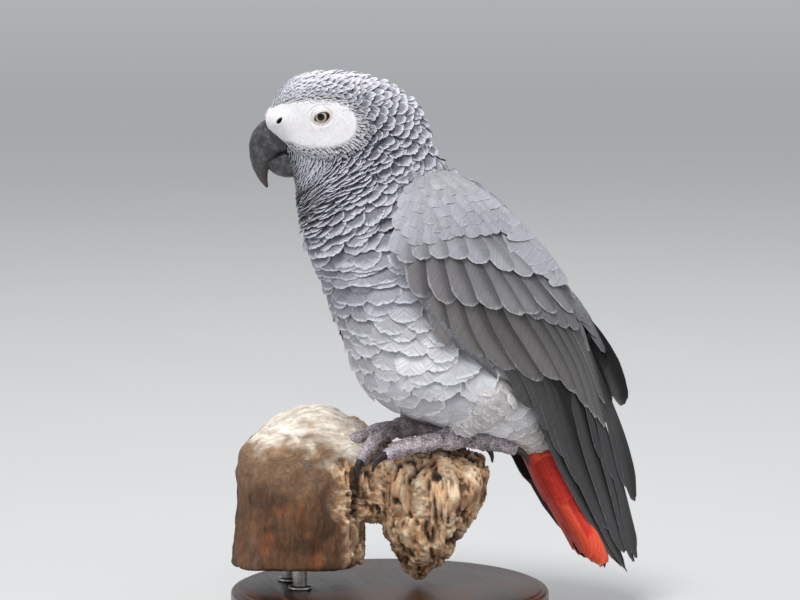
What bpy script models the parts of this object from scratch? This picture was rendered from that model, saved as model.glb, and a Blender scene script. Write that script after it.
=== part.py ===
"""Grey parrot (Psittacus erithacus), life size, gripping a short cut length of branch on a display stand.

The bird faces -Y with its left side at +X, and Z is up. The origin is the centre of the stand's underside.
Sizes below are in millimetres and are turned to metres where meshes are made.
"""

import math

import bmesh
import bpy
from mathutils import Matrix, Vector

MM = 0.001
GAP = 0.3  # clearance between neighbouring solids

# The body is a loft from the bill to the tail. Each station is a section from the back line to the front
# line in the side plane, as (y, z), with its half width and its share of the head's turn.
BODY = (
    # back, front, half width, share of turn
    ((-65, 287), (-61, 271), 8.5, 1.0),  # bill base
    ((-52, 303), (-54, 251), 17.0, 1.0),  # brow and chin
    ((-24, 306), (-52, 237), 21.0, 1.0),  # crown and throat
    ((12, 291), (-50, 224), 24.0, 0.6),  # nape
    ((30, 255), (-47, 210), 28.5, 0.1),  # foot of the neck
    ((57, 238), (-38, 190), 36.0, 0.0),  # mantle
    ((89, 199), (-26, 160), 42.0, 0.0),  # breast
    ((96, 150), (-7, 124), 40.0, 0.0),  # belly
    ((97, 112), (50, 102), 25.0, 0.0),  # vent
    ((101, 95), (74, 93), 15.0, 0.0),  # tail base
)
BODY_SIDES = 18
BODY_SQUARENESS = 2.2
RINGS_PER_STATION = 3
BODY_CUTS = (2.6, 3.9, 5.4, 7.1)  # head, neck, breast, belly and vent meet at these stations
CUT_SHARE = 0.012  # half of the gap between two lengths of the body, in stations
NEAREST_STEP = 0.3  # a ring is left out where it would be nearer than this share of a step to an end
HEAD_TURN = 12  # degrees, to the bird's right
NECK_PIVOT = (0, -8, 0)

EYE_RADIUS = 6.2
EYE_PLACE = (14.4, -38, 282)

BILL_CENTRE = (-60, 264)
BILL_THROAT = (-58, 258)
BILL_RADIUS = 17.0
BILL_HOOK = 6.5  # how far the tip runs out past the culmen's circle
BILL_SWEEP = (5, 161)  # degrees round the culmen, from straight up towards the front
BILL_DEPTH = 19.0
BILL_HALF_WIDTH = 9.0
BILL_TIP_WIDTH = 0.8
BILL_STEPS = 9
BILL_SIDES = 12
BILL_SQUARENESS = 2.3
# The lower mandible: centre (y, z), half depth, half width.
MANDIBLE = (
    ((-48, 257), 7.5, 7.0),
    ((-58, 255), 7.5, 6.8),
    ((-65, 255), 5.0, 4.8),
    ((-69, 257), 1.5, 1.6),
)

MANDIBLE_LEAN = 0.2  # how far its sections lean forward, as a share of their half depth

# The left wing: upper edge and lower edge (x, y, z), bulge of the blade between them, thickness.
WING = (
    ((21, 30, 250), (27, 6, 245), 4, 7.0),
    ((22, 58, 230), (43, -5, 214), 13, 7.0),
    ((18, 93, 192), (46, 16, 171), 16, 5.5),
    ((13, 112, 146), (40, 58, 133), 12, 4.0),
    ((11, 125, 94), (26, 90, 90), 5, 3.0),
    ((9, 139, 35), (15, 126, 36), 1, 1.6),
)
WING_SPAN_SIDES = 5
WING_RINGS_PER_STATION = 4
WING_CUTS = (1.9, 3.3)  # coverts, secondaries and primaries meet at these stations
WING_CUT_SHARE = 0.004
FEATHER_TIPS = (2.7, 3.7, 4.45, 5.0)  # stations where flight feathers end along the rear edge
FIRST_FEATHER = 1.9
FEATHER_STEP = 8.0
TIP_ROUNDING = 0.06
WING_RIM = 0.25  # thickness at the blade's edges, as a share of its middle
RUN_STEP = 0.1  # stations ahead and behind that give the wing's direction
WING_CLEARANCE = 14
NEAR_TIP = 0.12  # a station nearer than this to a feather tip gives way to it
OPEN_FROM = 3.2  # station where the right wing is fully spread
CLOSE_FROM = 4  # station where its spread starts to shrink again, by CLOSE_SHARE at the wing tip
CLOSE_SHARE = 0.6
LIFT_RISE = (1.1, 3.1)  # stations between which the rear edge of its secondaries rises
LIFT_END = 3.72  # station where they end
WING_PIVOT = (0, 20, 235)
RIGHT_DROOP = 3.0  # degrees that the right wing hangs lower
RIGHT_SPREAD = 11.0  # how much lower the front edge of the right wing lies where it is fully open
RIGHT_LIFT = 21.0  # how much higher the rear edge of its secondaries stands

# The tail: upper line, under line (y, z), half width.
TAIL = (
    ((102, 92.5), (75, 91), 15.5),
    ((110, 72), (87, 70), 17.0),
    ((119, 48), (102, 46), 18.5),
    ((124, 33), (111, 31), 17.5),
    ((124, 28), (116, 27), 8.0),
)
TAIL_SIDES = 14
TAIL_SQUARENESS = 2.4

THIGH_TOP = (24, 58, 142)
THIGH_FOOT = (19, 36, 111)
THIGH_RADII = (17, 20, 15, 8.5)
HIP_SHARE = 0.3  # how much of its foot's shift forward or back a thigh's top follows
THIGH_STEPS = 6
THIGH_SIDES = 16
SHANK_RADIUS = 5.2
SHANK_STEPS = 4
SHANK_SIDES = 12
SHANK_START = -0.25  # inside the thigh, as a share of the shank
TUBE_START = 0.6  # the first ring of a thigh or toe is narrower by this share

# Feet: the knuckle and the ball of each foot, then the toes as (splay in degrees, reach, forward).
KNUCKLES = {"left": (17, 30, 104.5), "right": (-13, 12, 107)}
PALM_SIZE = (7.2, 8.2, 5.6)
PALM_DROP = 0.8
TOE_DROPS = {"left": 4, "right": 13}  # how far the front toes curl down
HIND_DROP = 5
FOOT_HEADINGS = {"left": 7, "right": -13}  # degrees outwards
TOES = {
    "toe_1": (-24, 27, False),
    "toe_2": (-16, 33, True),
    "toe_3": (9, 41, True),
    "toe_4": (12, 36, False),
}
TOE_FLAT = 0.35  # share of the toe that lies flat
TOE_START = 3.0  # inside the ball of the foot
TOE_RADIUS = 4.2
TOE_TAPER = 0.28
TOE_TIP = 0.8
TOE_PADS = 3  # swellings along each toe, of PAD_HEIGHT as a share of its radius
PAD_HEIGHT = 0.10
TOE_RISE = 0.6  # where a toe starts above the knuckle, and how far and how fast it comes down onto the wood
TOE_SETTLE = 3.2
SETTLE_RATE = 2.2
TOE_SIDES = 8
TOE_STEPS = 6
CLAW_LENGTH = 13
CLAW_RADIUS = 2.3
CLAW_TIP = 0.4
CLAW_SIDES = 6
CLAW_SLIMNESS = 1.3
CLAW_STEPS = 4
CLAW_BEND = 20  # degrees at each step

# The branch: outer line, inner line, half width. It rises, bends and ends in a broken arm.
BRANCH = (
    ((-18, -85, 34), (-18, -14, 34), 32),
    ((-18, -80, 62), (-18, -13, 56), 31),
    ((-24, -78, 95), (-20, -8, 55), 29),
    ((-34, -41, 117), (-18, -2, 53), 28),
    ((-34, -15, 110), (-10, 6, 51), 28),
    ((-14, 6, 96), (-2, 17, 49), 29),
    ((0, 30, 96), (2, 33, 50), 28),
    ((2, 51, 91), (2, 48, 62), 22),
)
# The torn tongue of wood that hangs from the arm: front, rear, half width.
TONGUE = (
    ((0, -2, 58), (0, 41, 60), 24),
    ((0, 3, 40), (0, 34, 40), 18),
    ((0, 8, 30), (0, 27, 30), 12),
    ((0, 14, 24), (0, 19, 24), 5),
)
BRANCH_SIDES = 16
BRANCH_SQUARENESS = 2.3
BRANCH_CUTS = (1.6, 3.9)
BRANCH_CUT_SHARE = 0.02
BRANCH_KNOTS = 1.2  # height of the lumps in the wood

BASE_RADIUS = 88
BASE_HEIGHT = 20
BASE_BEVEL = 2.5
ROD_RADIUS = 4.0
ROD_PLACES = ((-31, -50), (-5, -50))
ROD_BOTTOM = 5
ROD_TOP = 48
ROD_SIDES = 12

COLOURS = {
    "plumage": ((0.33, 0.34, 0.37), 0.85, 0.0),
    "wing": ((0.20, 0.21, 0.23), 0.8, 0.0),
    "flight": ((0.06, 0.06, 0.07), 0.75, 0.0),
    "scarlet": ((0.62, 0.03, 0.02), 0.8, 0.0),
    "scales": ((0.22, 0.23, 0.25), 0.7, 0.0),
    "horn": ((0.02, 0.02, 0.02), 0.35, 0.0),
    "eye": ((0.72, 0.68, 0.45), 0.1, 0.0),
    "wood": ((0.35, 0.21, 0.11), 0.9, 0.0),
    "stand": ((0.05, 0.035, 0.025), 0.4, 0.0),
    "rod": ((0.35, 0.34, 0.32), 0.3, 1.0),
}


def new_collection(name):
    collection = bpy.data.collections.new(name)
    bpy.context.scene.collection.children.link(collection)
    return collection


def material(name):
    found = bpy.data.materials.get(name)
    if found:
        return found
    colour, roughness, metallic = COLOURS[name.split(".")[0]]
    made = bpy.data.materials.new(name)
    made.use_nodes = True
    shader = made.node_tree.nodes["Principled BSDF"]
    shader.inputs["Base Color"].default_value = (*colour, 1.0)
    shader.inputs["Roughness"].default_value = roughness
    shader.inputs["Metallic"].default_value = metallic
    return made


def blend(a, b, share):
    """Between two numbers or two tuples."""
    if isinstance(a, tuple):
        return tuple(blend(p, q, share) for p, q in zip(a, b))
    return a + (b - a) * share


def catmull(p0, p1, p2, p3, t):
    if isinstance(p0, tuple):
        return tuple(catmull(*values, t) for values in zip(p0, p1, p2, p3))
    slope_in = (p2 - p0) / 2
    slope_out = (p3 - p1) / 2
    rise = p2 - p1
    cubic = slope_in + slope_out - 2 * rise
    return p1 + t * (slope_in + t * (rise - slope_in - cubic + t * cubic))


def station(table, t):
    """The smooth curve through a table's rows, read at row number t."""
    last = len(table) - 1
    index = min(int(t), last - 1)
    rows = [table[min(max(index + k, 0), last)] for k in (-1, 0, 1, 2)]
    return catmull(*rows, t - index)


def ramp(t, low, high):
    """0 up to low, 1 from high on, and smooth between them."""
    share = min(max((t - low) / (high - low), 0.0), 1.0)
    return share * share * (3 - 2 * share)


def steps_between(low, high, per_unit):
    """Row numbers from low to high, keeping to even steps where it can."""
    margin = NEAREST_STEP / per_unit
    inner = [k / per_unit for k in range(math.ceil(low * per_unit), math.floor(high * per_unit) + 1)]
    return [low, *(t for t in inner if low + margin < t < high - margin), high]


def rounded(angle, squareness):
    """A point on a superellipse of half sizes 1."""
    c = math.cos(angle)
    s = math.sin(angle)
    power = 2 / squareness
    return math.copysign(abs(c) ** power, c), math.copysign(abs(s) ** power, s)


def section(back, front, half_width, sides, squareness=2.0):
    """A closed ring through a back point and a front point. Points given as (y, z) lie in the side plane."""
    back, front = (Vector((0, *point) if len(point) == 2 else point) for point in (back, front))
    middle = (back + front) / 2
    depth = back - middle
    ring = []
    for k in range(sides):
        across, along = rounded(2 * math.pi * k / sides, squareness)
        ring.append(middle + Vector((half_width * across, 0, 0)) + depth * along)
    return ring


def loft(name, rings, collection, looks, smooth=True):
    """A closed solid through rings that all have the same number of points."""
    shape = bmesh.new()
    rows = [[shape.verts.new(point * MM) for point in ring] for ring in rings]
    count = len(rows[0])
    for low, high in zip(rows, rows[1:]):
        for k in range(count):
            shape.faces.new((low[k], low[(k + 1) % count], high[(k + 1) % count], high[k]))
    shape.faces.new(rows[0][::-1])
    shape.faces.new(rows[-1])
    return finish(name, shape, collection, looks, smooth)


def finish(name, shape, collection, looks, smooth=True):
    bmesh.ops.recalc_face_normals(shape, faces=shape.faces)
    mesh = bpy.data.meshes.new(name)
    shape.to_mesh(mesh)
    shape.free()
    if smooth:
        mesh.shade_smooth()
        mesh.set_sharp_from_angle(angle=math.radians(40))
    mesh.materials.append(material(looks))
    made = bpy.data.objects.new(name, mesh)
    collection.objects.link(made)
    return made


def grown(source, cutters, by=GAP):
    """A hidden copy of a solid, thicker all round, that cuts its neighbours clear of it."""
    shape = bmesh.new()
    shape.from_mesh(source.data)
    shape.normal_update()
    for vertex in shape.verts:
        vertex.co += vertex.normal * by * MM * min(vertex.calc_shell_factor(), 2.0)
    return hide(finish("clear_" + source.name, shape, cutters, source.data.materials[0].name))


def hide(cutter):
    cutter.hide_render = True
    cutter.display_type = "WIRE"
    return cutter


def cut(target, *cutters):
    for cutter in cutters:
        boolean = target.modifiers.new("clear " + cutter.name, "BOOLEAN")
        boolean.operation = "DIFFERENCE"
        boolean.solver = "EXACT"
        boolean.object = cutter


def turn_head(point, share=1.0):
    pivot = Vector(NECK_PIVOT)
    return pivot + Matrix.Rotation(math.radians(-HEAD_TURN * share), 3, "Z") @ (point - pivot)


def body_ring(t):
    back, front, half_width, share = station(BODY, t)
    ring = section(back, front, half_width, BODY_SIDES, BODY_SQUARENESS)
    return [turn_head(point, share) for point in ring]


def make_body(birds):
    names = ("head", "neck", "breast", "belly", "vent")
    cuts = (0, *BODY_CUTS, len(BODY) - 1)
    lengths = {}
    for k, name in enumerate(names):
        low = cuts[k] + (CUT_SHARE if k else 0)
        high = cuts[k + 1] - (CUT_SHARE if k < len(names) - 1 else 0)
        rings = [body_ring(t) for t in steps_between(low, high, RINGS_PER_STATION)]
        lengths[name] = loft(name, rings, birds, "plumage." + name)
    return lengths


def make_eye(name, side, birds):
    centre = turn_head(Vector((side * EYE_PLACE[0], *EYE_PLACE[1:])))
    shape = bmesh.new()
    bmesh.ops.create_uvsphere(shape, u_segments=12, v_segments=8, radius=EYE_RADIUS * MM)
    bmesh.ops.rotate(shape, verts=shape.verts, matrix=Matrix.Rotation(math.pi / 2, 3, "Y"))
    bmesh.ops.translate(shape, verts=shape.verts, vec=centre * MM)
    return finish(name, shape, birds, "eye." + name)


def bill_section(share):
    """The upper bill at a share of the way from its base to its tip."""
    angle = math.radians(blend(*map(float, BILL_SWEEP), share))
    past = max(0.0, angle - math.pi / 2) / (math.radians(BILL_SWEEP[1]) - math.pi / 2)
    radius = BILL_RADIUS + BILL_HOOK * past**2
    culmen = Vector((BILL_CENTRE[0] - radius * math.sin(angle), BILL_CENTRE[1] + radius * math.cos(angle)))
    inward = (Vector(BILL_THROAT) - culmen).normalized()
    edge = culmen + inward * (BILL_DEPTH * (1 - share**2.5) + 2 * BILL_TIP_WIDTH)
    half_width = BILL_HALF_WIDTH * (1 - share**2.2) + BILL_TIP_WIDTH
    return section(tuple(culmen), tuple(edge), half_width, BILL_SIDES, BILL_SQUARENESS)


def make_bill(birds, cutters, head_clearance):
    rings = [[turn_head(point) for point in bill_section(k / BILL_STEPS)] for k in range(BILL_STEPS + 1)]
    upper = loft("bill_upper", rings, birds, "horn.bill_upper")
    rings = []
    for t in steps_between(0, len(MANDIBLE) - 1, RINGS_PER_STATION):
        centre, half_depth, half_width = station(MANDIBLE, t)
        lean = MANDIBLE_LEAN * half_depth
        top = (centre[0] - lean, centre[1] + half_depth)
        bottom = (centre[0] + lean, centre[1] - half_depth)
        ring = section(top, bottom, half_width, BILL_SIDES, BILL_SQUARENESS)
        rings.append([turn_head(point) for point in ring])
    lower = loft("bill_lower", rings, birds, "horn.bill_lower")
    cut(lower, grown(upper, cutters), head_clearance)
    cut(upper, head_clearance)


def feather_step(t):
    """How far the rear edge stands out at t: it grows towards each feather tip, then falls back."""
    for start, end in zip((FIRST_FEATHER, *FEATHER_TIPS), FEATHER_TIPS):
        if start < t < end:
            return FEATHER_STEP * min(1.0, (t - start) / (end - TIP_ROUNDING - start))
    return 0.0


def wing_ring(t, spread, lift):
    """The outer and inner lines of the left wing's blade at t, from its upper edge to its lower edge."""
    upper, lower, bulge, thickness = station(WING, t)
    upper = Vector(upper)
    lower = Vector(lower)
    chord = (upper - lower).normalized()
    opening = spread * ramp(t, 0, OPEN_FROM) * (1 - CLOSE_SHARE * ramp(t, CLOSE_FROM, len(WING) - 1))
    raised = lift * ramp(t, *LIFT_RISE) * (1 - ramp(t, LIFT_END - TIP_ROUNDING, LIFT_END))
    upper = upper + chord * (feather_step(t) + raised)
    lower = lower - chord * opening
    out = wing_run(t).cross(chord).normalized()
    outer = []
    inner = []
    for k in range(WING_SPAN_SIDES + 1):
        share = k / WING_SPAN_SIDES
        arch = math.sin(math.pi * share)
        middle = upper.lerp(lower, share) + out * bulge * arch
        outer.append(middle)
        inner.append(middle - out * thickness * (WING_RIM + (1 - WING_RIM) * arch**0.5))
    return outer, inner, out, chord


def wing_run(t):
    """The direction from the shoulder to the wing tip at t."""
    ahead = Vector(station(WING, min(t + RUN_STEP, len(WING) - 1))[0])
    return (ahead - Vector(station(WING, max(t - RUN_STEP, 0.0))[0])).normalized()


def wing_clearance_ring(t, spread, lift):
    """What neighbours leave free at t: the blade and all that lies outside it."""
    outer, inner, out, chord = wing_ring(t, spread, lift)
    last = len(WING) - 1
    beyond = wing_run(t) * 2 * GAP * ((t == last) - (t == 0))
    outer = [point + out * WING_CLEARANCE + beyond for point in outer]
    inner = [point - out * 2 * GAP + beyond for point in inner]
    for line in (outer, inner):
        line[0] += chord * 3 * GAP
        line[-1] -= chord * 3 * GAP
    return outer + inner[::-1]


def place_wing(ring, side, droop):
    turn = Matrix.Rotation(math.radians(-droop), 3, "X")
    pivot = Vector(WING_PIVOT)
    ring = [pivot + turn @ (point - pivot) for point in ring]
    return [Vector((side * point.x, point.y, point.z)) for point in ring]


def wing_stations(low, high):
    """Evenly spaced stations, with a pair at each feather tip to keep its step sharp."""
    found = {round(t, 4) for t in steps_between(low, high, WING_RINGS_PER_STATION)}
    for tip in (*FEATHER_TIPS, LIFT_END):
        near = {t for t in found if abs(t - tip) < NEAR_TIP and t not in (low, high)}
        found -= near
        found |= {t for t in (tip - TIP_ROUNDING, tip) if low < t < high}
    return sorted(found)


def wing_lengths():
    """The stations of the coverts, secondaries and primaries."""
    cuts = (0, *WING_CUTS, len(WING) - 1)
    for k, (low, high) in enumerate(zip(cuts, cuts[1:])):
        yield wing_stations(low + (WING_CUT_SHARE if k else 0), high - (WING_CUT_SHARE if k < 2 else 0))


def make_wing(word, side, birds, cutters):
    droop, spread, lift = (0.0, 0.0, 0.0) if side > 0 else (RIGHT_DROOP, RIGHT_SPREAD, RIGHT_LIFT)
    looks = {"coverts": "wing", "secondaries": "wing", "primaries": "flight"}
    clearance = []
    for name, stations in zip(looks, wing_lengths()):
        rings = []
        for t in stations:
            outer, inner = wing_ring(t, spread, lift)[:2]
            rings.append(place_wing(outer + inner[::-1], side, droop))
            clearance.append(place_wing(wing_clearance_ring(t, spread, lift), side, droop))
        full = f"{name}_{word}"
        loft(full, rings, birds, f"{looks[name]}.{full}")
    return hide(loft(f"clear_wing_{word}", clearance, cutters, f"wing.coverts_{word}"))


def make_tail(birds):
    rings = []
    for t in steps_between(0, len(TAIL) - 1, RINGS_PER_STATION):
        upper, under, half_width = station(TAIL, t)
        rings.append(section(upper, under, half_width, TAIL_SIDES, TAIL_SQUARENESS))
    return loft("tail", rings, birds, "scarlet.tail")


def tube(name, path, radii, sides, collection, looks, across=Vector((1, 0, 0))):
    """A round tube along a path that bends in the plane square to across, with a radius at each point."""
    rings = []
    for k, point in enumerate(path):
        before = path[max(k - 1, 0)]
        after = path[min(k + 1, len(path) - 1)]
        along = (after - before).normalized()
        up = across.cross(along).normalized()
        turns = [2 * math.pi * n / sides for n in range(sides)]
        rings.append([point + radii[k] * (across * math.cos(a) + up * math.sin(a)) for a in turns])
    return loft(name, rings, collection, looks)


def make_leg(word, side, birds):
    """Thigh and shank, from the flank down to the knuckle."""
    shift = Vector((0, KNUCKLES[word][1] - KNUCKLES["left"][1], 0))
    top = Vector((side * THIGH_TOP[0], *THIGH_TOP[1:])) + shift * HIP_SHARE
    foot = Vector((side * THIGH_FOOT[0], *THIGH_FOOT[1:])) + shift
    shares = [k / THIGH_STEPS for k in range(THIGH_STEPS + 1)]
    path = [top.lerp(foot, share) for share in shares]
    radii = [station(THIGH_RADII, (len(THIGH_RADII) - 1) * share) for share in shares]
    radii[0] *= TUBE_START
    thigh = tube(f"thigh_{word}", path, radii, THIGH_SIDES, birds, f"plumage.thigh_{word}")
    knuckle = Vector(KNUCKLES[word])
    start = foot.lerp(knuckle, SHANK_START)
    path = [start.lerp(knuckle, k / SHANK_STEPS) for k in range(SHANK_STEPS + 1)]
    radii = [SHANK_RADIUS] * len(path)
    shank = tube(f"shank_{word}", path, radii, SHANK_SIDES, birds, f"scales.shank_{word}")
    return thigh, shank


def toe_path(knuckle, side, heading, reach, forward, drop):
    """The toe's centre line, the claw's, and the level axis that both bend about."""
    heading = math.radians(heading)
    ahead = -1 if forward else 1
    across = Vector((side * math.sin(heading), ahead * math.cos(heading), 0))

    def at(length):
        share = length / reach
        fall = drop * max(0.0, (share - TOE_FLAT) / (1 - TOE_FLAT)) ** 2
        settled = TOE_SETTLE * min(1.0, SETTLE_RATE * share)
        return knuckle + across * length + Vector((0, 0, TOE_RISE - settled - fall))

    toe = [at(blend(TOE_START, reach, k / TOE_STEPS)) for k in range(TOE_STEPS + 1)]
    heading_down = (toe[-1] - toe[-2]).normalized()
    axis = across.cross(Vector((0, 0, 1))).normalized()
    claw = [toe[-1] + heading_down * GAP]
    for k in range(CLAW_STEPS):
        bend = math.radians(-CLAW_BEND * k)
        claw.append(claw[-1] + Matrix.Rotation(bend, 3, axis) @ heading_down * CLAW_LENGTH / CLAW_STEPS)
    return toe, claw, axis


def make_foot(word, side, birds, cutters):
    knuckle = Vector(KNUCKLES[word])
    shape = bmesh.new()
    bmesh.ops.create_uvsphere(shape, u_segments=10, v_segments=7, radius=1.0)
    bmesh.ops.scale(shape, verts=shape.verts, vec=Vector(PALM_SIZE) * MM)
    bmesh.ops.translate(shape, verts=shape.verts, vec=(knuckle - Vector((0, 0, PALM_DROP))) * MM)
    palm = finish(f"foot_{word}", shape, birds, f"scales.foot_{word}")
    palm_clearance = grown(palm, cutters)
    pieces = [palm]
    toe_clearances = {True: [], False: []}
    for toe_name, (splay, reach, forward) in TOES.items():
        drop = TOE_DROPS[word] if forward else HIND_DROP
        heading = splay + FOOT_HEADINGS[word] * (1 if forward else -1)
        toe_line, claw_line, axis = toe_path(knuckle, side, heading, reach, forward, drop)
        shares = [k / TOE_STEPS for k in range(TOE_STEPS + 1)]
        pads = [1 + PAD_HEIGHT * math.cos(2 * math.pi * share * TOE_PADS) for share in shares]
        radii = [TOE_RADIUS * (1 - TOE_TAPER * share) * pad for share, pad in zip(shares, pads)]
        radii[0] *= TUBE_START
        radii[-1] *= TOE_TIP
        name = f"{toe_name}_{word}"
        toe = tube(name, toe_line, radii, TOE_SIDES, birds, f"scales.{name}", axis)
        cut(toe, palm_clearance, *toe_clearances[forward])
        toe_clearances[forward].append(grown(toe, cutters))
        shares = [(k / CLAW_STEPS) ** CLAW_SLIMNESS for k in range(CLAW_STEPS + 1)]
        claw_radii = [blend(CLAW_RADIUS, CLAW_TIP, share) for share in shares]
        name = f"claw_{toe_name[-1]}_{word}"
        claw = tube(name, claw_line, claw_radii, CLAW_SIDES, birds, f"horn.{name}", axis)
        pieces += [toe, claw]
    return pieces


def knots(point):
    """Lumps in the wood: a few slow waves over its surface."""
    x, y, z = point
    return BRANCH_KNOTS * (
        math.sin(x / 9 + y / 14 + 1.0) * math.sin(z / 8 - y / 21) + 0.6 * math.sin(y / 6 - x / 11 + z / 17)
    )


def gnarled(ring):
    middle = sum(ring, Vector()) / len(ring)
    return [point + (point - middle).normalized() * knots(point) for point in ring]


def make_branch(birds, cutters):
    names = ("perch_trunk", "perch_elbow", "perch_arm")
    cuts = (0, *BRANCH_CUTS, len(BRANCH) - 1)
    pieces = {}
    for k, name in enumerate(names):
        low = cuts[k] + (BRANCH_CUT_SHARE if k else 0)
        high = cuts[k + 1] - (BRANCH_CUT_SHARE if k < 2 else 0)
        rings = []
        for t in steps_between(low, high, RINGS_PER_STATION):
            outer, inner, half_width = station(BRANCH, t)
            rings.append(gnarled(section(outer, inner, half_width, BRANCH_SIDES, BRANCH_SQUARENESS)))
        pieces[name] = loft(name, rings, birds, "wood." + name)
    rings = []
    for t in steps_between(0, len(TONGUE) - 1, RINGS_PER_STATION):
        front, rear, half_width = station(TONGUE, t)
        rings.append(gnarled(section(front, rear, half_width, BRANCH_SIDES, BRANCH_SQUARENESS)))
    tongue = loft("perch_tongue", rings, birds, "wood.perch_tongue")
    for name in ("perch_elbow", "perch_arm"):
        cut(tongue, grown(pieces[name], cutters, 2 * GAP))
    pieces["perch_tongue"] = tongue
    return pieces


def cylinder(name, radius, low, high, place, collection, looks, sides):
    shape = bmesh.new()
    depth = (high - low) * MM
    bmesh.ops.create_cone(
        shape, cap_ends=True, segments=sides, radius1=radius * MM, radius2=radius * MM, depth=depth
    )
    centre = Vector((place[0], place[1], (low + high) / 2)) * MM
    bmesh.ops.translate(shape, verts=shape.verts, vec=centre)
    return finish(name, shape, collection, looks)


def make_stand(birds, cutters, trunk):
    base = cylinder("stand_base", BASE_RADIUS, 0, BASE_HEIGHT, (0, 0), birds, "stand.stand_base", 32)
    bevel = base.modifiers.new("rim", "BEVEL")
    bevel.width = BASE_BEVEL * MM
    bevel.segments = 1
    for k, place in enumerate(ROD_PLACES, start=1):
        looks = f"rod.stand_rod_{k}"
        cylinder(f"stand_rod_{k}", ROD_RADIUS, ROD_BOTTOM, ROD_TOP, place, birds, looks, ROD_SIDES)
        low = ROD_BOTTOM - GAP
        high = ROD_TOP + GAP
        name = f"clear_rod_{k}"
        clearance = hide(cylinder(name, ROD_RADIUS + GAP, low, high, place, cutters, looks, ROD_SIDES))
        cut(base, clearance)
        cut(trunk, clearance)


def build():
    for old in list(bpy.data.objects):
        bpy.data.objects.remove(old, do_unlink=True)
    birds = new_collection("grey_parrot")
    cutters = new_collection("cutters")

    body = make_body(birds)
    head_clearance = grown(body["head"], cutters)
    tail = make_tail(birds)
    branch = make_branch(birds, cutters)
    make_bill(birds, cutters, head_clearance)
    make_stand(birds, cutters, branch["perch_trunk"])

    for word, side in (("left", 1), ("right", -1)):
        eye = make_eye(f"eye_{word}", side, birds)
        cut(body["head"], grown(eye, cutters))

        wing_clearance = make_wing(word, side, birds, cutters)
        thigh, shank = make_leg(word, side, birds)
        toes = make_foot(word, side, birds, cutters)
        thigh_clearance = grown(thigh, cutters)

        cut(body["neck"], wing_clearance)
        for name in ("breast", "belly", "vent"):
            cut(body[name], wing_clearance, thigh_clearance)
        cut(thigh, wing_clearance)
        cut(tail, wing_clearance)
        clearances = [grown(piece, cutters) for piece in toes]
        cut(shank, thigh_clearance, *clearances)
        cut(thigh, *clearances)
        cut(body["vent"], grown(shank, cutters), *clearances)
        for name in ("perch_elbow", "perch_arm"):
            cut(branch[name], *clearances)


build()
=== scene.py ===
import math

import bmesh
import bpy
import numpy as np
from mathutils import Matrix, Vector, noise
from mathutils.bvhtree import BVHTree


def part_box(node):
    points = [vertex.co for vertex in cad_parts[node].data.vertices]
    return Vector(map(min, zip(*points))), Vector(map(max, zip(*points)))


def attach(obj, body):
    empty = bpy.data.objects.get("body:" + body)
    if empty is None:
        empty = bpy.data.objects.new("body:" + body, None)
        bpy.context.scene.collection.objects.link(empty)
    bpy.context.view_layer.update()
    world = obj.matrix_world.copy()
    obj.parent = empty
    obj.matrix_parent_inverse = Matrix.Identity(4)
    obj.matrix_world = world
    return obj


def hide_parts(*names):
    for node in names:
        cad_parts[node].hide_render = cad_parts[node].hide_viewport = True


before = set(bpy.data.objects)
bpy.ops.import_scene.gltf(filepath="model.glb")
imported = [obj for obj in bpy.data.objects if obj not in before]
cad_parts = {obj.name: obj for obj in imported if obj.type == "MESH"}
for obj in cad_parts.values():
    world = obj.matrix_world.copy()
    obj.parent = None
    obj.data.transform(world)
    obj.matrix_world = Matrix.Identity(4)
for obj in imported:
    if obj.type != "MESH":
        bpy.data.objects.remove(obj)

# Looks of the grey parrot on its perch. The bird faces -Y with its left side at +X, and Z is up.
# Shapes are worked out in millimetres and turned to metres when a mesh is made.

MM = 0.001
TURN = 2 * math.pi
SIDES = {"left": 1, "right": -1}
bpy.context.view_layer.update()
random = np.random.default_rng(11)

# ---------------------------------------------------------------- camera and lights

CAMERA_AZIMUTH = 75
CAMERA_ELEVATION = 7
CAMERA_TARGET = (0.0, 0.0058, 0.1793)  # metres, as every place and size of this section
CAMERA_DISTANCE = 2.444
CAMERA_LENS = 200
CAMERA_CLIP = 0.05
LIGHT_TARGET = (0, 0, 0.17)
LIGHTS = (
    # name, azimuth, elevation, distance, size, power, colour
    ("key", 62, 62, 1.9, 0.8, 27, (1.0, 0.985, 0.96)),
    ("fill", 140, 25, 2.2, 1.4, 5, (0.95, 0.97, 1.0)),
    ("front", 5, 20, 2.2, 1.2, 5, (0.97, 0.98, 1.0)),
    ("rim", 250, 55, 2.1, 0.9, 12, (1.0, 0.99, 0.97)),
)
SKY = {"Color": (0.80, 0.82, 0.85, 1), "Strength": 0.54}


def linked(name, data):
    made = bpy.data.objects.new(name, data)
    bpy.context.scene.collection.objects.link(made)
    return made


def aimed(data, target, azimuth, elevation, distance):
    """Sets a camera or light up round the bird: azimuth 0 is straight ahead of it and 90 at its left side."""
    azimuth = math.radians(azimuth)
    elevation = math.radians(elevation)
    level = math.cos(elevation)
    towards = Vector((math.sin(azimuth) * level, -math.cos(azimuth) * level, math.sin(elevation)))
    made = linked(data.name, data)
    made.location = Vector(target) + towards * distance
    made.rotation_euler = towards.to_track_quat("Z", "Y").to_euler()
    return made


def make_camera():
    data = bpy.data.cameras.new("camera")
    data.lens = CAMERA_LENS
    data.clip_start = CAMERA_CLIP
    camera = aimed(data, CAMERA_TARGET, CAMERA_AZIMUTH, CAMERA_ELEVATION, CAMERA_DISTANCE)
    bpy.context.scene.camera = camera


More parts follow.
